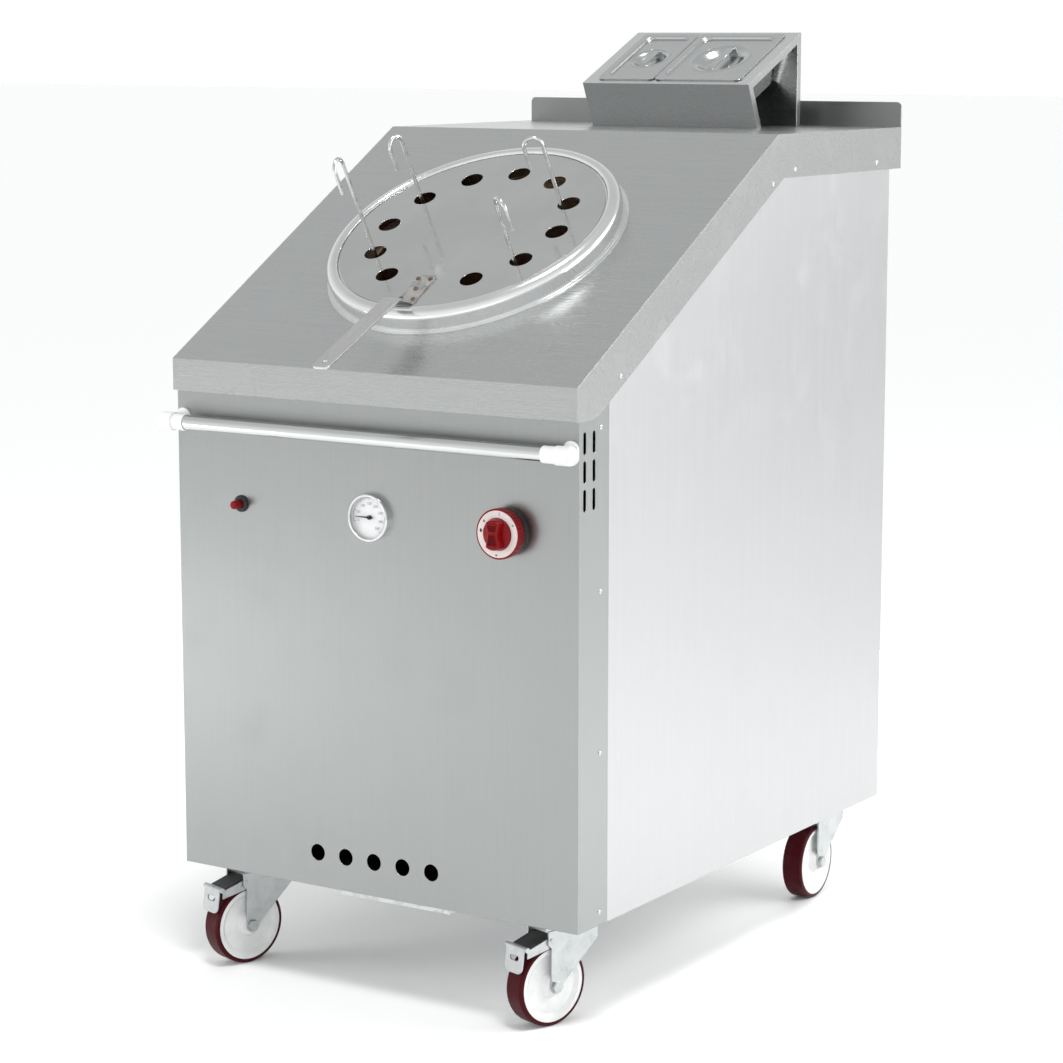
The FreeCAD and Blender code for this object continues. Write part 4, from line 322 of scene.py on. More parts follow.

# ---- cabinet panels ----------------------------------------------------------------------------
# Flat stainless steel walls with folded edges, spot-welded to a folded floor. The front wall has
# five round air holes at its foot and short vent slots in its folded sides.

# The front, back and side walls are the same steel, but the front and back have a darker tone, painted
# shade, with more painted shade from the flank factor, and the sides a lighter one, painted light.
front_steel_shaded = steel_sheet("front_panel_steel_shaded", (0.42, 0.434, 0.43), 0.30, (800, 800, 9), flank_shade=0.45)
side_steel_lit = steel_sheet("side_panel_steel_lit", (0.53, 0.535, 0.54), 0.34, (800, 800, 9))
dress(front_steel_shaded, "front_panel", "back_panel")
dress(side_steel_lit, "side_panel_left", "side_panel_right")
dress(steel_sheet("floor_steel", (0.55, 0.56, 0.56), 0.4, (14, 700, 700), edges=False), "base_frame")

# ---- screws of the cabinet ---------------------------------------------------------------------
# Pan-head steel screws with a cross recess, along the hood's side flanges and down the folded
# sides of the front wall. Each head is turned to where the driver left it.

screw_steel = steel_sheet("screw_steel", (0.66, 0.66, 0.66), 0.22, (300, 300, 300))


def placed(shape, name, place, body, material, instead=(), soft=35):
    """Makes a finished piece of a shape, in its place, on its body and with its finish."""
    bmesh.ops.remove_doubles(shape, verts=shape.verts, dist=1e-7)
    bmesh.ops.recalc_face_normals(shape, faces=shape.faces)
    shape.transform(place)
    mesh = bpy.data.meshes.new(name)
    shape.to_mesh(mesh)
    shape.free()
    mesh.materials.append(material)
    mesh.shade_smooth()
    mesh.set_sharp_from_angle(angle=math.radians(soft))
    piece = bpy.data.objects.new(name, mesh)
    bpy.context.scene.collection.objects.link(piece)
    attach(piece, body)
    if instead:
        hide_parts(*instead)


def joined(shapes):
    """One bmesh of several, each with its own place."""
    whole = bmesh.new()
    for shape, place in shapes:
        shape.transform(place)
        part = bpy.data.meshes.new("part")
        shape.to_mesh(part)
        shape.free()
        whole.from_mesh(part)
        bpy.data.meshes.remove(part)
    return whole


def screw_head(radius, height):
    """A domed head from a grid drawn into a disc, with its cross pressed in and its foot closed."""
    shape = bmesh.new()
    bmesh.ops.create_grid(shape, x_segments=12, y_segments=12, size=radius)
    for vert in shape.verts:
        x, y = vert.co.x / radius, vert.co.y / radius
        vert.co.x = x * math.sqrt(1 - y * y / 2) * radius
        vert.co.y = y * math.sqrt(1 - x * x / 2) * radius
        vert.co.z = height * math.sqrt(max(0.02, 1 - (vert.co.x**2 + vert.co.y**2) / radius**2))
    arm, reach = radius / 6, radius * 0.55
    cross = [
        face
        for face in shape.faces
        if min(abs(c) for c in face.calc_center_median()[:2]) < arm
        and max(abs(c) for c in face.calc_center_median()[:2]) < reach
    ]
    pressed = bmesh.ops.extrude_face_region(shape, geom=cross)["geom"]
    sunk = [item for item in pressed if isinstance(item, bmesh.types.BMVert)]
    bmesh.ops.translate(shape, vec=(0, 0, -height * 0.55), verts=sunk)
    bmesh.ops.delete(shape, geom=cross, context="FACES")
    rim = [edge for edge in shape.edges if edge.is_boundary]
    foot = bmesh.ops.extrude_edge_only(shape, edges=rim)["geom"]
    for vert in foot:
        if isinstance(vert, bmesh.types.BMVert):
            vert.co.z = 0
    bmesh.ops.holes_fill(shape, edges=[edge for edge in shape.edges if edge.is_boundary])
    return shape


heads = []
turned_by = random.Random(5)
for side in (-1, 1):
    sideways = Matrix.Rotation(side * math.pi / 2, 4, "Y")
    for out, y, z in (
        (0.3650, -0.3321, 0.9621),
        (0.3650, 0.1189, 1.2169),
        (0.3650, 0.1899, 1.2368),
        (0.3650, 0.4739, 1.2368),
        (0.3632, -0.3826, 0.1800),
        (0.3632, -0.3826, 0.4180),
        (0.3632, -0.3826, 0.6560),
        (0.3632, -0.3826, 0.8940),
    ):
        spin = Matrix.Rotation(turned_by.uniform(0, math.pi / 2), 4, "Z")
        heads.append((screw_head(0.0040, 0.0020), Matrix.Translation((side * out, y, z)) @ sideways @ spin))
placed(
    joined(heads), "screw_heads", Matrix(), "cabinet", screw_steel,
    instead=("cabinet_screws",),
)

# ---- oven mouth --------------------------------------------------------------------------------
# A ring spun from polished stainless steel sheet, spot-welded to the slope, with a rounded
# shoulder and a sunk ledge on which the lid lies.

tilt = math.radians(29.9)
mouth = Matrix.Translation((0, -0.156078, 1.124489)) @ Matrix.Rotation(tilt, 4, "X")


def spun_steel(name, tone, roughness, centre, turn):
    """Stainless steel with fine circles round an axis, as spinning or polishing leaves them."""
    made = Finish(name, 1.0, roughness, centre, turn)
    parts = made.tree.nodes.new("ShaderNodeSeparateXYZ")
    made.tree.links.new(made.place, parts.inputs[0])
    across = sums(made.tree, "POWER", parts.outputs["X"], 2)
    along = sums(made.tree, "POWER", parts.outputs["Y"], 2)
    radius = sums(made.tree, "SQRT", sums(made.tree, "ADD", across, along), 0)
    rings = made.tree.nodes.new("ShaderNodeCombineXYZ")
    made.tree.links.new(radius, rings.inputs[0])
    made.tree.links.new(parts.outputs["Z"], rings.inputs[2])
    lines = noise(made.tree, rings.outputs[0], 1100, 2, 0.6)
    marks = made.effect(kitchen_marks)
    clouds = noise(made.tree, made.place, 7, 4, 0.6)
    dark = tuple(c * 0.9 for c in tone)
    colour = made.blend(ramp(made.tree, clouds, 0.3, 0.7), dark, tone)
    rim = made.effect(rounded_edge_highlight)
    # Painted highlight: the edges are lightened towards near white.
    colour = made.blend(sums(made.tree, "MULTIPLY", rim["Edge"], 0.3), colour, (0.95, 0.95, 0.94))
    made.colour(colour)
    rough = ramp(made.tree, lines, 0.3, 0.7, roughness - 0.04, roughness + 0.05)
    made.rough(sums(made.tree, "ADD", rough, sums(made.tree, "MULTIPLY", marks["Smears"], 0.08)))
    made.relief(lines, 0.00001, 0.4, rim["Normal"])
    return made.material


# The ring is given a much lighter tone than the lid: a painted highlight for the bright reflection along
# its side.
collar_steel_brightened = spun_steel("collar_steel_brightened", (0.86, 0.865, 0.865), 0.16, mouth.translation, (tilt, 0, 0))
dress(collar_steel_brightened, "mouth_collar")

# ---- lid ---------------------------------------------------------------------------------------
# A flat disc cut from polished stainless steel sheet, with eleven round holes for skewers. It lies
# loose on the ledge inside the ring and lifts off.

lid_steel = spun_steel("lid_steel", (0.66, 0.665, 0.66), 0.12, mouth.translation, (tilt, 0, 0))
dress(lid_steel, "lid_plate")

# ---- lid handle --------------------------------------------------------------------------------
# A flat strap that is riveted to the lid and steps up over the ring. Heat has coloured it brown
# round the rivets.

handle_steel = Finish("handle_steel", 1.0, 0.3, mouth.translation, (tilt, 0, 0))
handle_lines = handle_steel.effect(brushed_lines, Stretch=(900, 14, 900))
handle_rim = handle_steel.effect(rounded_edge_highlight)
handle_place = handle_steel.tree.nodes.new("ShaderNodeSeparateXYZ")
handle_steel.tree.links.new(handle_steel.place, handle_place.inputs[0])
scorch = noise(handle_steel.tree, handle_steel.place, 70, 4, 0.7)
near_rivets = ramp(handle_steel.tree, handle_place.outputs["Y"], -0.225, -0.165)
scorched = sums(handle_steel.tree, "MULTIPLY", near_rivets, ramp(handle_steel.tree, scorch, 0.45, 0.62))
handle_colour = handle_steel.blend(handle_lines["Lines"], (0.55, 0.55, 0.54), (0.68, 0.68, 0.67))
handle_colour = handle_steel.blend(
    sums(handle_steel.tree, "MULTIPLY", scorched, 0.55), handle_colour, (0.20, 0.13, 0.08)
)
# Painted highlight: the strap's edges are lightened towards near white.
handle_colour = handle_steel.blend(
    sums(handle_steel.tree, "MULTIPLY", handle_rim["Edge"], 0.4), handle_colour, (0.9, 0.9, 0.88)
)
handle_steel.colour(handle_colour)
handle_steel.rough(ramp(handle_steel.tree, handle_lines["Lines"], 0, 1, 0.24, 0.38))
handle_steel.relief(handle_lines["Lines"], 0.00002, 0.5, handle_rim["Normal"])
dress(handle_steel.material, "lid_handle")

# ---- rivets ------------------------------------------------------------------------------------
# Steel rivets with round heads that hold the handle's strap to the lid. The heat of the oven has
# darkened them.

rivet_steel = Finish("rivet_steel", 0.9, 0.5)
rivet_rust = noise(rivet_steel.tree, rivet_steel.place, 260, 4, 0.7)
rivet_steel.colour(rivet_steel.blend(ramp(rivet_steel.tree, rivet_rust, 0.35, 0.65),
                                     (0.10, 0.075, 0.06), (0.30, 0.20, 0.13)))
rivet_steel.rough(ramp(rivet_steel.tree, rivet_rust, 0.3, 0.7, 0.4, 0.65))
rivet_steel.relief(rivet_rust, 0.0002, 0.6)
dress(rivet_steel.material, "handle_rivets")

# ---- skewers -----------------------------------------------------------------------------------
# Long round steel rods, bent over at the top into hooks. They stand loose in holes in the lid and
# are browned by the fire below it.

skewer_steel = Finish("skewer_steel", 1.0, 0.22, mouth.translation, (tilt, 0, 0))
drawn = noise(skewer_steel.tree, skewer_steel.place, 60, 3, 0.6)
skewer_place = skewer_steel.tree.nodes.new("ShaderNodeSeparateXYZ")
skewer_steel.tree.links.new(skewer_steel.place, skewer_place.inputs[0])
fire = ramp(skewer_steel.tree, skewer_place.outputs["Z"], 0.03, -0.12)
skewer_colour = skewer_steel.blend(
    ramp(skewer_steel.tree, drawn, 0.3, 0.7), (0.55, 0.55, 0.54), (0.72, 0.72, 0.71)
)
skewer_colour = skewer_steel.blend(
    sums(skewer_steel.tree, "MULTIPLY", fire, 0.8), skewer_colour, (0.16, 0.11, 0.08)
)
skewer_steel.colour(skewer_colour)
skewer_steel.rough(ramp(skewer_steel.tree, drawn, 0.3, 0.7, 0.16, 0.32))
skewer_steel.relief(drawn, 0.00002, 0.2)
dress(skewer_steel.material, "skewer_1", "skewer_2", "skewer_3", "skewer_4")

# ---- clay pot and its insulation ---------------------------------------------------------------
# A thrown and fired clay pot, sooted inside, packed in mineral wool in a galvanised drum that
# stands on a folded cradle.

clay = Finish("fired_clay", 0.0, 0.9, mouth.translation, (tilt, 0, 0))
clay_grit = noise(clay.tree, clay.place, 160, 5, 0.7)
clay_clouds = noise(clay.tree, clay.place, 9, 3, 0.6)
clay_colour = clay.blend(ramp(clay.tree, clay_clouds, 0.3, 0.7), (0.42, 0.26, 0.17), (0.60, 0.42, 0.29))
clay_colour = clay.blend(ramp(clay.tree, clay_grit, 0.55, 0.75), clay_colour, (0.22, 0.15, 0.11))
clay.colour(clay_colour)
clay.rough(ramp(clay.tree, clay_grit, 0.3, 0.7, 0.8, 0.98))
clay.relief(clay_grit, 0.0012, 0.8)
dress(clay.material, "clay_pot")

wool = Finish("mineral_wool", 0.0, 1.0)
wool_fibres = noise(wool.tree, wool.place, 420, 6, 0.75)
wool.colour(wool.blend(ramp(wool.tree, wool_fibres, 0.35, 0.65), (0.52, 0.46, 0.32), (0.84, 0.79, 0.64)))
wool.rough(ramp(wool.tree, wool_fibres, 0.3, 0.7, 0.9, 1.0))
wool.relief(wool_fibres, 0.003, 1.0)
dress(wool.material, "insulation_fill")


def galvanised(name, tone):
    """Zinc-coated sheet with its frosty crystals."""
    made = Finish(name, 1.0, 0.42)
    crystals = made.tree.nodes.new("ShaderNodeTexVoronoi")
    crystals.inputs["Scale"].default_value = 85
    made.tree.links.new(made.place, crystals.inputs["Vector"])
    grey = made.tree.nodes.new("ShaderNodeSeparateColor")
    made.tree.links.new(crystals.outputs["Color"], grey.inputs[0])
    marks = made.effect(kitchen_marks)
    dull = tuple(c * 0.8 for c in tone)
    bright = tuple(min(1, c * 1.15) for c in tone)
    colour = made.blend(grey.outputs[0], dull, bright)
    colour = made.blend(sums(made.tree, "MULTIPLY", marks["Smears"], 0.4), colour, (0.5, 0.5, 0.5))
    made.colour(colour)
    made.rough(ramp(made.tree, grey.outputs[0], 0, 1, 0.34, 0.52))
    made.relief(grey.outputs[0], 0.00003, 0.5)
    return made.material


dress(galvanised("drum_zinc", (0.60, 0.62, 0.63)), "insulation_jacket", "oven_cradle")

# ---- burner and gas line -----------------------------------------------------------------------
# A cast-iron burner with its spark electrode, fed through bent steel pipes from a brass inlet in
# the back wall and a brass valve behind the knob.

iron = Finish("cast_iron", 0.6, 0.75)
iron_skin = noise(iron.tree, iron.place, 380, 5, 0.7)
iron.colour(iron.blend(ramp(iron.tree, iron_skin, 0.3, 0.7), (0.035, 0.033, 0.032), (0.11, 0.10, 0.095)))
iron.rough(ramp(iron.tree, iron_skin, 0.3, 0.7, 0.65, 0.9))
iron.relief(iron_skin, 0.0006, 0.9)
dress(iron.material, "burner")

glaze = Finish("glazed_ceramic", 0.0, 0.2)
glaze_clouds = noise(glaze.tree, glaze.place, 120, 3, 0.5)
glaze.colour(glaze.blend(glaze_clouds, (0.84, 0.82, 0.76), (0.93, 0.92, 0.88)))
glaze.rough(ramp(glaze.tree, glaze_clouds, 0.3, 0.7, 0.12, 0.3))
glaze.relief(glaze_clouds, 0.0001, 0.3)
dress(glaze.material, "spark_electrode")

brass = Finish("machined_brass", 1.0, 0.3)
brass_turning = noise(brass.tree, brass.place, 240, 4, 0.6)
brass.colour(brass.blend(ramp(brass.tree, brass_turning, 0.3, 0.7), (0.52, 0.38, 0.15), (0.80, 0.62, 0.28)))
brass.rough(ramp(brass.tree, brass_turning, 0.3, 0.7, 0.22, 0.42))
brass.relief(brass_turning, 0.0001, 0.5)
dress(brass.material, "gas_valve")


def turned(outline, steps=72):
    """A shape spun round Z from (radius, height) points, closed where the last is the first."""
    shape = bmesh.new()
    closed = outline[0] == outline[-1]
    corners = [shape.verts.new((r / 1000, 0, z / 1000)) for r, z in (outline[:-1] if closed else outline)]
    edges = [shape.edges.new(pair) for pair in zip(corners, corners[1:] + (corners[:1] if closed else []))]
    bmesh.ops.spin(
        shape, geom=corners + edges, cent=(0, 0, 0), axis=(0, 0, 1), dvec=(0, 0, 0),
        angle=math.tau, steps=steps, use_merge=True, use_duplicate=False,
    )
    bmesh.ops.remove_doubles(shape, verts=shape.verts, dist=1e-7)
    return shape


# The inlet's male thread, its hexagon against the back wall and its bore.
thread = [(6.3, 20), (9.6, 20)]
for ridge in range(8):
    foot = 19.0 - ridge * 1.6
    thread += [(10.5, foot - 0.1), (10.5, foot - 0.5), (9.6, foot - 1.1)]
inlet = turned(thread + [(9.6, -12), (6.3, -12), (6.3, 20)], 48)
hexagon = bmesh.new()
bmesh.ops.create_circle(hexagon, cap_ends=True, radius=0.01575, segments=6)
top = bmesh.ops.extrude_face_region(hexagon, geom=hexagon.faces[:])["geom"]
bmesh.ops.translate(hexagon, vec=(0, 0, 0.006), verts=[v for v in top if isinstance(v, bmesh.types.BMVert)])
bmesh.ops.bevel(
    hexagon, geom=[e for e in hexagon.edges if all(v.co.z > 0.005 for v in e.verts)],
    offset=0.0012, offset_type="OFFSET", segments=2, profile=0.5, affect="EDGES", material=-1,
)
backwards = Matrix.Translation((0.290, 0.524411, 0.310)) @ Matrix.Rotation(-math.pi / 2, 4, "X")
placed(
    joined([(inlet, Matrix()), (hexagon, Matrix())]), "inlet_thread", backwards, "cabinet",
    brass.material, instead=("gas_inlet",), soft=30,
)
dress(steel_sheet("pipe_steel", (0.42, 0.43, 0.44), 0.4, (400, 400, 400), edges=False), "gas_pipes")
dress(
    steel_sheet("turned_steel", (0.6, 0.6, 0.6), 0.25, (500, 30, 500), edges=False),
    "valve_stem", "valve_spring_washer", "thermometer_probe",
)

# ---- controls on the front wall ----------------------------------------------------------------
# A red gas knob on a black ring, with a white printed ring round its grip; a push-button igniter
# in a black screwed bezel; and a dial thermometer in a steel case with a rolled rim.


def moulded(name, colour, roughness, dust=0.1, grain=0.00008, shine=0.35):
    """Moulded plastic with a fine skin, faint clouds of colour and a little dust."""
    made = Finish(name, 0.0, roughness)
    made.shader.inputs["Specular IOR Level"].default_value = shine
    skin = noise(made.tree, made.place, 900, 3, 0.6)
    clouds = noise(made.tree, made.place, 35, 3, 0.6)
    marks = made.effect(kitchen_marks)
    tone = made.blend(ramp(made.tree, clouds, 0.3, 0.7), tuple(c * 0.86 for c in colour), colour)
    tone = made.blend(sums(made.tree, "MULTIPLY", marks["Smears"], dust), tone, (0.6, 0.59, 0.57))
    made.colour(tone)
    made.rough(ramp(made.tree, skin, 0.3, 0.7, roughness - 0.06, roughness + 0.08))
    made.relief(skin, grain, 0.5)
    return made.material


black_plastic = moulded("black_plastic", (0.018, 0.018, 0.019), 0.38)
red_plastic = moulded("red_plastic", (0.185, 0.0015, 0.003), 0.26, 0.01, 0.00003, 0.2)
white_plastic = moulded("white_plastic", (0.76, 0.77, 0.76), 0.35, 0.06)
printed_white = moulded("printed_white", (0.60, 0.53, 0.52), 0.45, 0.03)
printed_black = moulded("printed_black", (0.012, 0.012, 0.012), 0.5, 0.0)
dress(black_plastic, "knob_bezel")


front_wall, control_height, control_offset = -0.440589, 0.740, 0.242


def to_front(x, out=0.0):
    """Place in the row of controls on the front wall, with a shape's Z pointing out and its Y up."""
    return Matrix.Translation((x, front_wall - out, control_height)) @ Matrix.Rotation(math.pi / 2, 4, "X")


knob_place = to_front(control_offset, 0.0096)
skirt = turned(
    [
        (0, 0.3), (33.0, 0.3), (35.8, 0.3), (36.4, 1.0), (36.6, 3.0), (36.9, 9.0), (37.0, 15.0),
        (36.7, 16.2), (36.0, 16.9), (35.2, 17.0), (34.6, 16.8), (34.5, 16.3), (23.7, 16.3),
        (23.4, 16.5), (23.3, 19.0), (22.8, 19.9), (21.6, 20.3), (0, 20.3),
    ],
    144,
)
for vert in skirt.verts:
    flute = round(math.atan2(vert.co.y, vert.co.x) / math.tau * 144) % 4
    if 0.002 < vert.co.z < 0.0155 and vert.co.xy.length > 0.036 and flute < 2:
        vert.co.xy *= 0.982

# The grip is a bar across the knob: round-ended, waisted, narrower at its top and rounded over.
grip_half, grip_reach = 0.0135, 0.0233
bar = bmesh.new()
bmesh.ops.create_circle(bar, cap_ends=True, radius=grip_reach, segments=64)
for side in (-1, 1):
    bmesh.ops.bisect_plane(
        bar, geom=bar.verts[:] + bar.edges[:] + bar.faces[:], plane_co=(side * grip_half, 0, 0),
        plane_no=(side, 0, 0), clear_outer=True,
    )
long_sides = [edge for edge in bar.edges if edge.calc_length() > 0.02]
bmesh.ops.subdivide_edges(bar, edges=long_sides, cuts=11)
for vert in bar.verts:
    if abs(abs(vert.co.x) - grip_half) < 1e-5:
        vert.co.x *= 1 - 0.26 * max(0.0, math.cos(vert.co.y / 0.0190 * math.pi / 2)) ** 1.5
base = bar.faces[:]
for rise, narrow in ((0.004, 0.96), (0.006, 0.90), (0.004, 0.92)):
    base = bmesh.ops.extrude_face_region(bar, geom=base)["geom"]
    lifted = [item for item in base if isinstance(item, bmesh.types.BMVert)]
    bmesh.ops.translate(bar, vec=(0, 0, rise), verts=lifted)
    bmesh.ops.scale(bar, vec=(narrow, 1 - (1 - narrow) * 0.4, 1), verts=lifted)
    base = [item for item in base if isinstance(item, bmesh.types.BMFace)]
open_edges = [edge for edge in bar.edges if edge.is_boundary]
bmesh.ops.dissolve_limit(bar, angle_limit=0.01, verts=bar.verts, edges=open_edges)
crown = [
    edge
    for edge in bar.edges
    if all(vert.co.z > 0.0139 for vert in edge.verts) and not edge.is_boundary
]
bmesh.ops.bevel(
    bar, geom=crown, offset=0.0022, offset_type="OFFSET", segments=4, profile=0.5,
    affect="EDGES", material=-1,
)
for vert in bar.verts:
    if vert.co.z > 0.0120:
        vert.co.z -= 0.0016 * max(0.0, 1 - abs(vert.co.x) / 0.006) * max(0.0, vert.co.y / 0.023)
placed(
    joined([(skirt, Matrix()), (bar, Matrix.Translation((0, 0, 0.0180)))]),
    "knob_cap", knob_place, "knob", red_plastic, instead=("gas_knob",), soft=38,
)
placed(
    turned([(24.0, 16.2), (24.0, 16.75), (34.2, 16.75), (34.2, 16.2), (24.0, 16.2)], 96),
    "knob_ring", knob_place, "knob", printed_white,
)


def printed(shapes, name, place, body):
    """Thin printed marks; each is a flat shape with where it lies."""
    placed(joined(shapes), name, place, body, printed_black)


def drop(wide, tall, pinch):
    """A printed drop: a disc drawn out and pinched to a tip at its top, a flame when pinched."""
    shape = bmesh.new()
    bmesh.ops.create_circle(shape, cap_ends=True, radius=1, segments=28)
    for vert in shape.verts:
        up = max(0.0, vert.co.y)
        vert.co.x *= wide / 2 * (1 - pinch * up)
        vert.co.y *= tall / 2
    raised = bmesh.ops.extrude_face_region(shape, geom=shape.faces[:])["geom"]
    bmesh.ops.translate(
        shape, vec=(0, 0, 0.00006), verts=[item for item in raised if isinstance(item, bmesh.types.BMVert)]
    )
    return shape


marks_on_ring = []
for angle, reach, wide, tall, pinch in (
    (142, 29.0, 3.0, 4.6, 0.95),
    (172, 28.6, 4.4, 6.4, 0.95),
    (84, 29.4, 1.1, 6.0, 0.0),
    (29, 30.0, 2.4, 2.4, 0.0),
    (266, 30.5, 3.2, 2.4, 0.0),
):
    spot = Matrix.Rotation(math.radians(angle), 4, "Z") @ Matrix.Translation((reach / 1000, 0, 0.01674))
    upright = Matrix.Rotation(math.radians(-90 if pinch == 0 else -angle), 4, "Z")
    marks_on_ring.append((drop(wide / 1000, tall / 1000, pinch), spot @ upright))
printed(marks_on_ring, "knob_marks", knob_place, "knob")

# Igniter: the bezel is one with its threaded barrel, which a nut holds behind the wall.
igniter_place = to_front(-control_offset)
bezel = turned(
    [
        (0, -39.8), (9, -39.8), (9, -1.5), (9, 0.05), (13, 0.05), (13, 1.2), (12.6, 3.2), (11.4, 4.9),
        (9.6, 5.8), (8.2, 6.0), (7.1, 5.8), (6.8, 5.2), (6.8, -18.0), (0, -18.0),
    ],
    64,
)
placed(
    bezel, "igniter_bezel", igniter_place, "cabinet", black_plastic,
    instead=("igniter_body",),
)
push = turned(
    [
        (0, -7.0), (6.5, -7.0), (6.5, 17.0), (6.45, 19.0), (6.1, 20.6), (5.3, 21.5), (4.0, 21.95),
        (0, 22.0),
    ],
    48,
)
placed(
    push, "igniter_push", igniter_place, "igniter_button", red_plastic,
    instead=("igniter_button",),
)

# Thermometer: a pressed case whose rim is rolled over the glass, a white dial printed in black.
dial_place = to_front(0)
case_steel = spun_steel(
    "case_steel", (0.78, 0.79, 0.79), 0.12, dial_place.translation, (math.pi / 2, 0, 0)
)
case = turned(
    [
        (4.5, 0.0), (36.0, 0.0), (36.0, 7.6), (35.8, 8.7), (35.2, 9.5), (34.3, 9.95), (33.2, 10.0),
        (32.2, 9.8), (31.5, 9.4), (31.4, 9.1), (33.9, 9.06), (33.95, 1.6), (4.5, 1.6), (4.5, 0.0),
    ],
    96,
)
placed(
    case, "thermometer_rim", dial_place, "cabinet", case_steel,
    instead=("thermometer_case",), soft=50,
)
dress(moulded("dial_enamel", (0.76, 0.76, 0.77), 0.4, 0.0), "thermometer_dial")
dress(printed_black, "thermometer_pointer")

dial_start, dial_step = 195, 0.694
scale_marks = []
for degrees in range(0, 351, 10):
    around = math.radians(dial_start - degrees * dial_step)
    long = 4.2 if degrees % 50 == 0 else 2.2
    tick = bmesh.new()
    bmesh.ops.create_cube(tick, size=1)
    bmesh.ops.scale(tick, vec=(long / 1000, (0.7 if long > 3 else 0.35) / 1000, 0.00006), verts=tick.verts)
    at = Matrix.Rotation(around, 4, "Z") @ Matrix.Translation(((29.6 - long / 2) / 1000, 0, 0.00302))
    scale_marks.append((tick, at))
    if degrees % 50 == 0:
        letters = bpy.data.curves.new("numeral", "FONT")
        letters.body = str(degrees)
        letters.size = 0.0056
        letters.align_x = "CENTER"
        letters.align_y = "CENTER"
        letters.extrude = 0.00003
        letters.resolution_u = 3
        flat_text = bpy.data.objects.new("numeral", letters)
        bpy.context.scene.collection.objects.link(flat_text)
        bpy.context.view_layer.update()
        figures = bmesh.new()
        figures.from_mesh(flat_text.to_mesh())
        flat_text.to_mesh_clear()
        bpy.data.objects.remove(flat_text)
        reach = 0.0208
        scale_marks.append(
            (figures, Matrix.Translation((math.cos(around) * reach, math.sin(around) * reach, 0.00302)))
        )
arc = bmesh.new()
section = [
    arc.verts.new((r, 0, z))
    for r, z in ((0.0295, 0.003), (0.0299, 0.003), (0.0299, 0.00306), (0.0295, 0.00306))
]
bmesh.ops.spin(
    arc, geom=[arc.faces.new(section)], cent=(0, 0, 0), axis=(0, 0, 1), dvec=(0, 0, 0),
    angle=math.radians(-350 * dial_step), steps=80, use_duplicate=False,
)
bmesh.ops.rotate(
    arc, cent=(0, 0, 0), matrix=Matrix.Rotation(math.radians(dial_start), 3, "Z"), verts=arc.verts
)
scale_marks.append((arc, Matrix()))
printed(scale_marks, "dial_scale", dial_place, "cabinet")

glass = Finish("thermometer_glass", 0.0, 0.04)
glass.shader.inputs["Transmission Weight"].default_value = 1.0
glass.shader.inputs["IOR"].default_value = 1.45
glass.shader.inputs["Alpha"].default_value = 0.12
glass_haze = noise(glass.tree, glass.place, 180, 3, 0.6)
glass.rough(ramp(glass.tree, glass_haze, 0.4, 0.7, 0.01, 0.06))
dress(glass.material, "thermometer_glass")

# ---- front rail --------------------------------------------------------------------------------
# A stainless steel tube across the front, above the controls. Its ends are held in two white
# plastic elbows that are screwed to the front wall.

rail_steel = steel_sheet("rail_steel", (0.70, 0.71, 0.71), 0.2, (20, 900, 900))
dress(rail_steel, "rail_tube")
dress(white_plastic, "rail_brackets")

# ---- ash tray ----------------------------------------------------------------------------------
# A tray folded from galvanised sheet that catches the ash. It slides out to the front in two
# runners under the cabinet's floor.

dress(galvanised("tray_zinc", (0.66, 0.68, 0.69)), "drip_tray", "tray_runners")

# ---- pan stand, pans and pan lids --------------------------------------------------------------
# A stand bent from stainless steel sheet on the shelf, whose top slopes down to the front. Two
# pressed food pans hang in it, each under a pressed lid with a bridge over its dish for a handle.

# The stand's top has a light tone, painted light, and its front and ends get painted shade through a strong
# flank factor.
stand_steel_lit_and_shaded = steel_sheet("stand_steel_lit_and_shaded", (0.72, 0.73, 0.73), 0.25, (9, 800, 800), flank_shade=1.9)
pan_steel = steel_sheet("pan_steel", (0.58, 0.59, 0.59), 0.2, (300, 300, 300))
dress(stand_steel_lit_and_shaded, "pan_stand")
dress(pan_steel, "pan_small", "pan_large")
stand_place = Matrix.Translation((0.039, 0.340118, 1.363315)) @ Matrix.Rotation(math.radians(24.7), 4, "X")


def ease(value):
    """A smooth step from 0 to 1 for values between 0 and 1."""
    value = min(1.0, max(0.0, value))
    return value * value * (3 - 2 * value)


def pressed_lid(low, high, near, far):
    """A lid pressed from a sheet: its panel sinks inside a flat border, and a round dish deeper."""
    shape = bmesh.new()
    bmesh.ops.create_grid(shape, x_segments=90, y_segments=120, size=1)
    middle = Vector(((low + high) / 2, (near + far) / 2))
    half = Vector(((high - low) / 2, (far - near) / 2))
    dish = (high - low) * 0.29
    border, corner_round, sunk, deeper = 27, 7, 4.2, 9.5
    for vert in shape.verts:
        x, y = vert.co.x * half.x, vert.co.y * half.y
        over = Vector((abs(x) - half.x + border, abs(y) - half.y + border))
        outside = Vector((max(0, over.x), max(0, over.y))).length + min(0, max(over)) - 16
        depth = sunk * ease(-outside / 2.6)
        ring = math.hypot(x, y)
        depth -= 0.9 * max(0.0, 1 - abs(ring - dish - 3) / 3.0)
        depth += deeper * ease((dish - ring) / (dish * 0.42))
        vert.co = (middle.x + x, middle.y + y, -depth)
    for corner in (-1, 1):
        for end in (-1, 1):
            for vert in shape.verts:
                from_middle = Vector((corner * (vert.co.x - middle.x), end * (vert.co.y - middle.y)))
                out = from_middle - half + Vector((corner_round, corner_round))
                if out.x > 0 and out.y > 0 and out.length > corner_round:
                    out = out.normalized() * corner_round + half - Vector((corner_round, corner_round))
                    vert.co.x = middle.x + corner * out.x
                    vert.co.y = middle.y + end * out.y
    bmesh.ops.solidify(shape, geom=shape.faces[:], thickness=1.1)
    shape.transform(Matrix.Diagonal((0.001, 0.001, 0.001, 1)))
    return shape, middle / 1000, dish / 1000


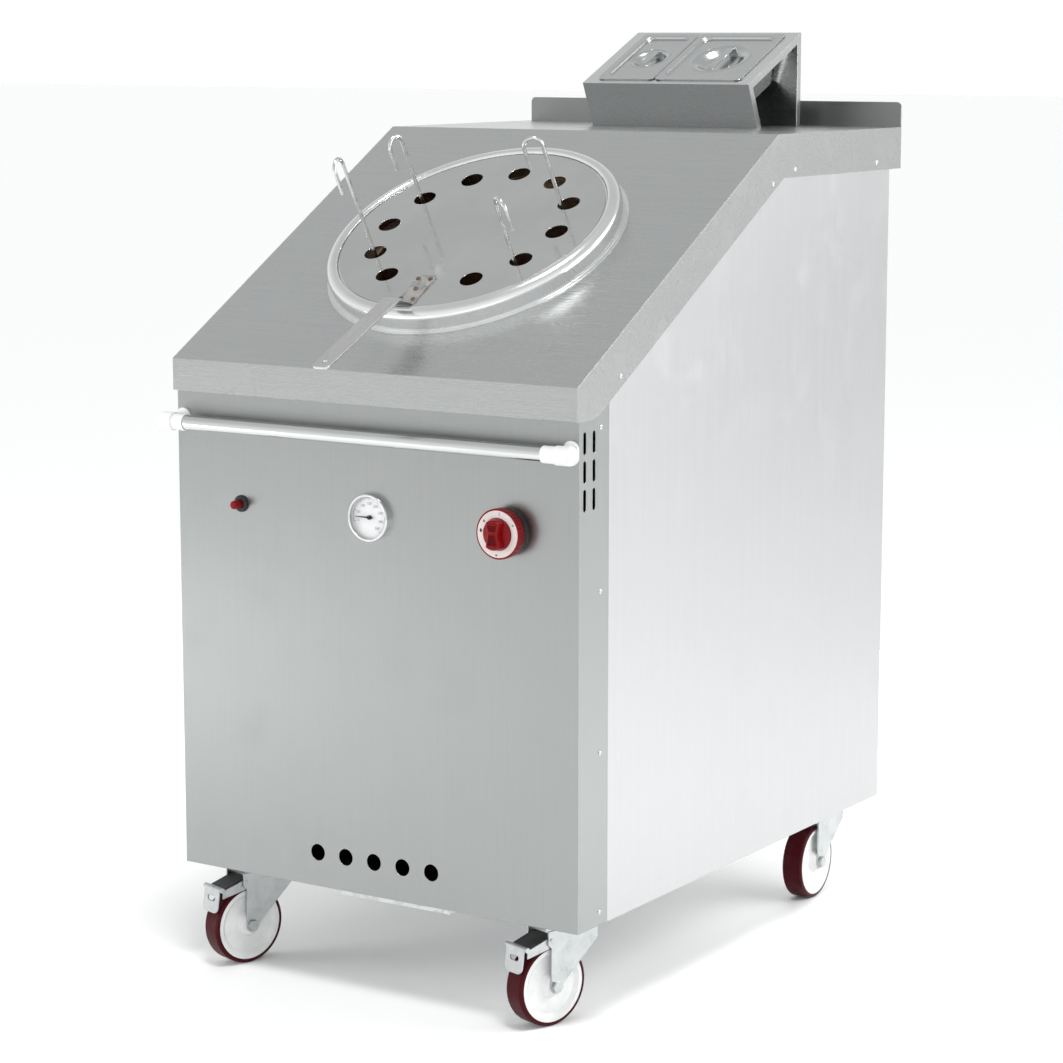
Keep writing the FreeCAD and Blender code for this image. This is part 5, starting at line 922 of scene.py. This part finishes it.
def lid_bridge(reach):
    """The strap across the dish: flat and bent down at both ends."""
    strap = bmesh.new()
    bmesh.ops.create_grid(strap, x_segments=24, y_segments=4, size=1)
    for vert in strap.verts:
        along = vert.co.x
        vert.co = (along * reach, vert.co.y * 0.0062, 0.0009 - 0.0040 * ease((abs(along) - 0.72) / 0.28))
    bmesh.ops.solidify(strap, geom=strap.faces[:], thickness=0.0014)
    return strap


for name, low, high in (("small", -136, -28), ("large", -26, 136)):
    plate, centre, dish = pressed_lid(low, high, 12.0, 188.0)
    at = stand_place @ Matrix.Translation((0, 0, 0.0028))
    bridge = lid_bridge(dish * 1.04)
    quarter = Matrix.Rotation(math.pi / 2, 4, "Z")
    along_the_depth = Matrix.Translation((centre.x, centre.y, -0.0036)) @ quarter
    placed(
        joined([(plate, Matrix()), (bridge, along_the_depth)]),
        f"pan_cover_{name}", at, f"pan_lid_{name}", pan_steel,
        instead=(f"pan_lid_{name}",), soft=50,
    )

# ---- castors -----------------------------------------------------------------------------------
# Zinc-plated pressed steel castors with white nylon wheels in dark red polyurethane tyres. The
# front two have a rocking brake.

zinc_plate = Finish("zinc_plate", 1.0, 0.3)
zinc_clouds = noise(zinc_plate.tree, zinc_plate.place, 45, 4, 0.65)
zinc_rim = zinc_plate.effect(rounded_edge_highlight)
zinc_plate.colour(
    zinc_plate.blend(
        ramp(zinc_plate.tree, zinc_clouds, 0.3, 0.7), (0.45, 0.47, 0.475), (0.59, 0.61, 0.61)
    )
)
zinc_plate.rough(ramp(zinc_plate.tree, zinc_clouds, 0.3, 0.7, 0.24, 0.42))
zinc_plate.relief(zinc_clouds, 0.0002, 0.4, zinc_rim["Normal"])
nylon = moulded("white_nylon", (0.70, 0.71, 0.70), 0.4, 0.12)
tyre = moulded("tyre_polyurethane", (0.046, 0.0025, 0.005), 0.38, 0.03, shine=0.1)
dress(zinc_plate.material, "castor_plates")
for corner in ("fl", "fr", "rl", "rr"):
    dress(zinc_plate.material, f"castor_{corner}_fork")
    dress(nylon, f"castor_{corner}_hub")
    dress(tyre, f"castor_{corner}_tread")
for corner in ("fl", "fr"):
    dress(zinc_plate.material, f"castor_{corner}_brake")
    dress(black_plastic, f"castor_{corner}_pedal")
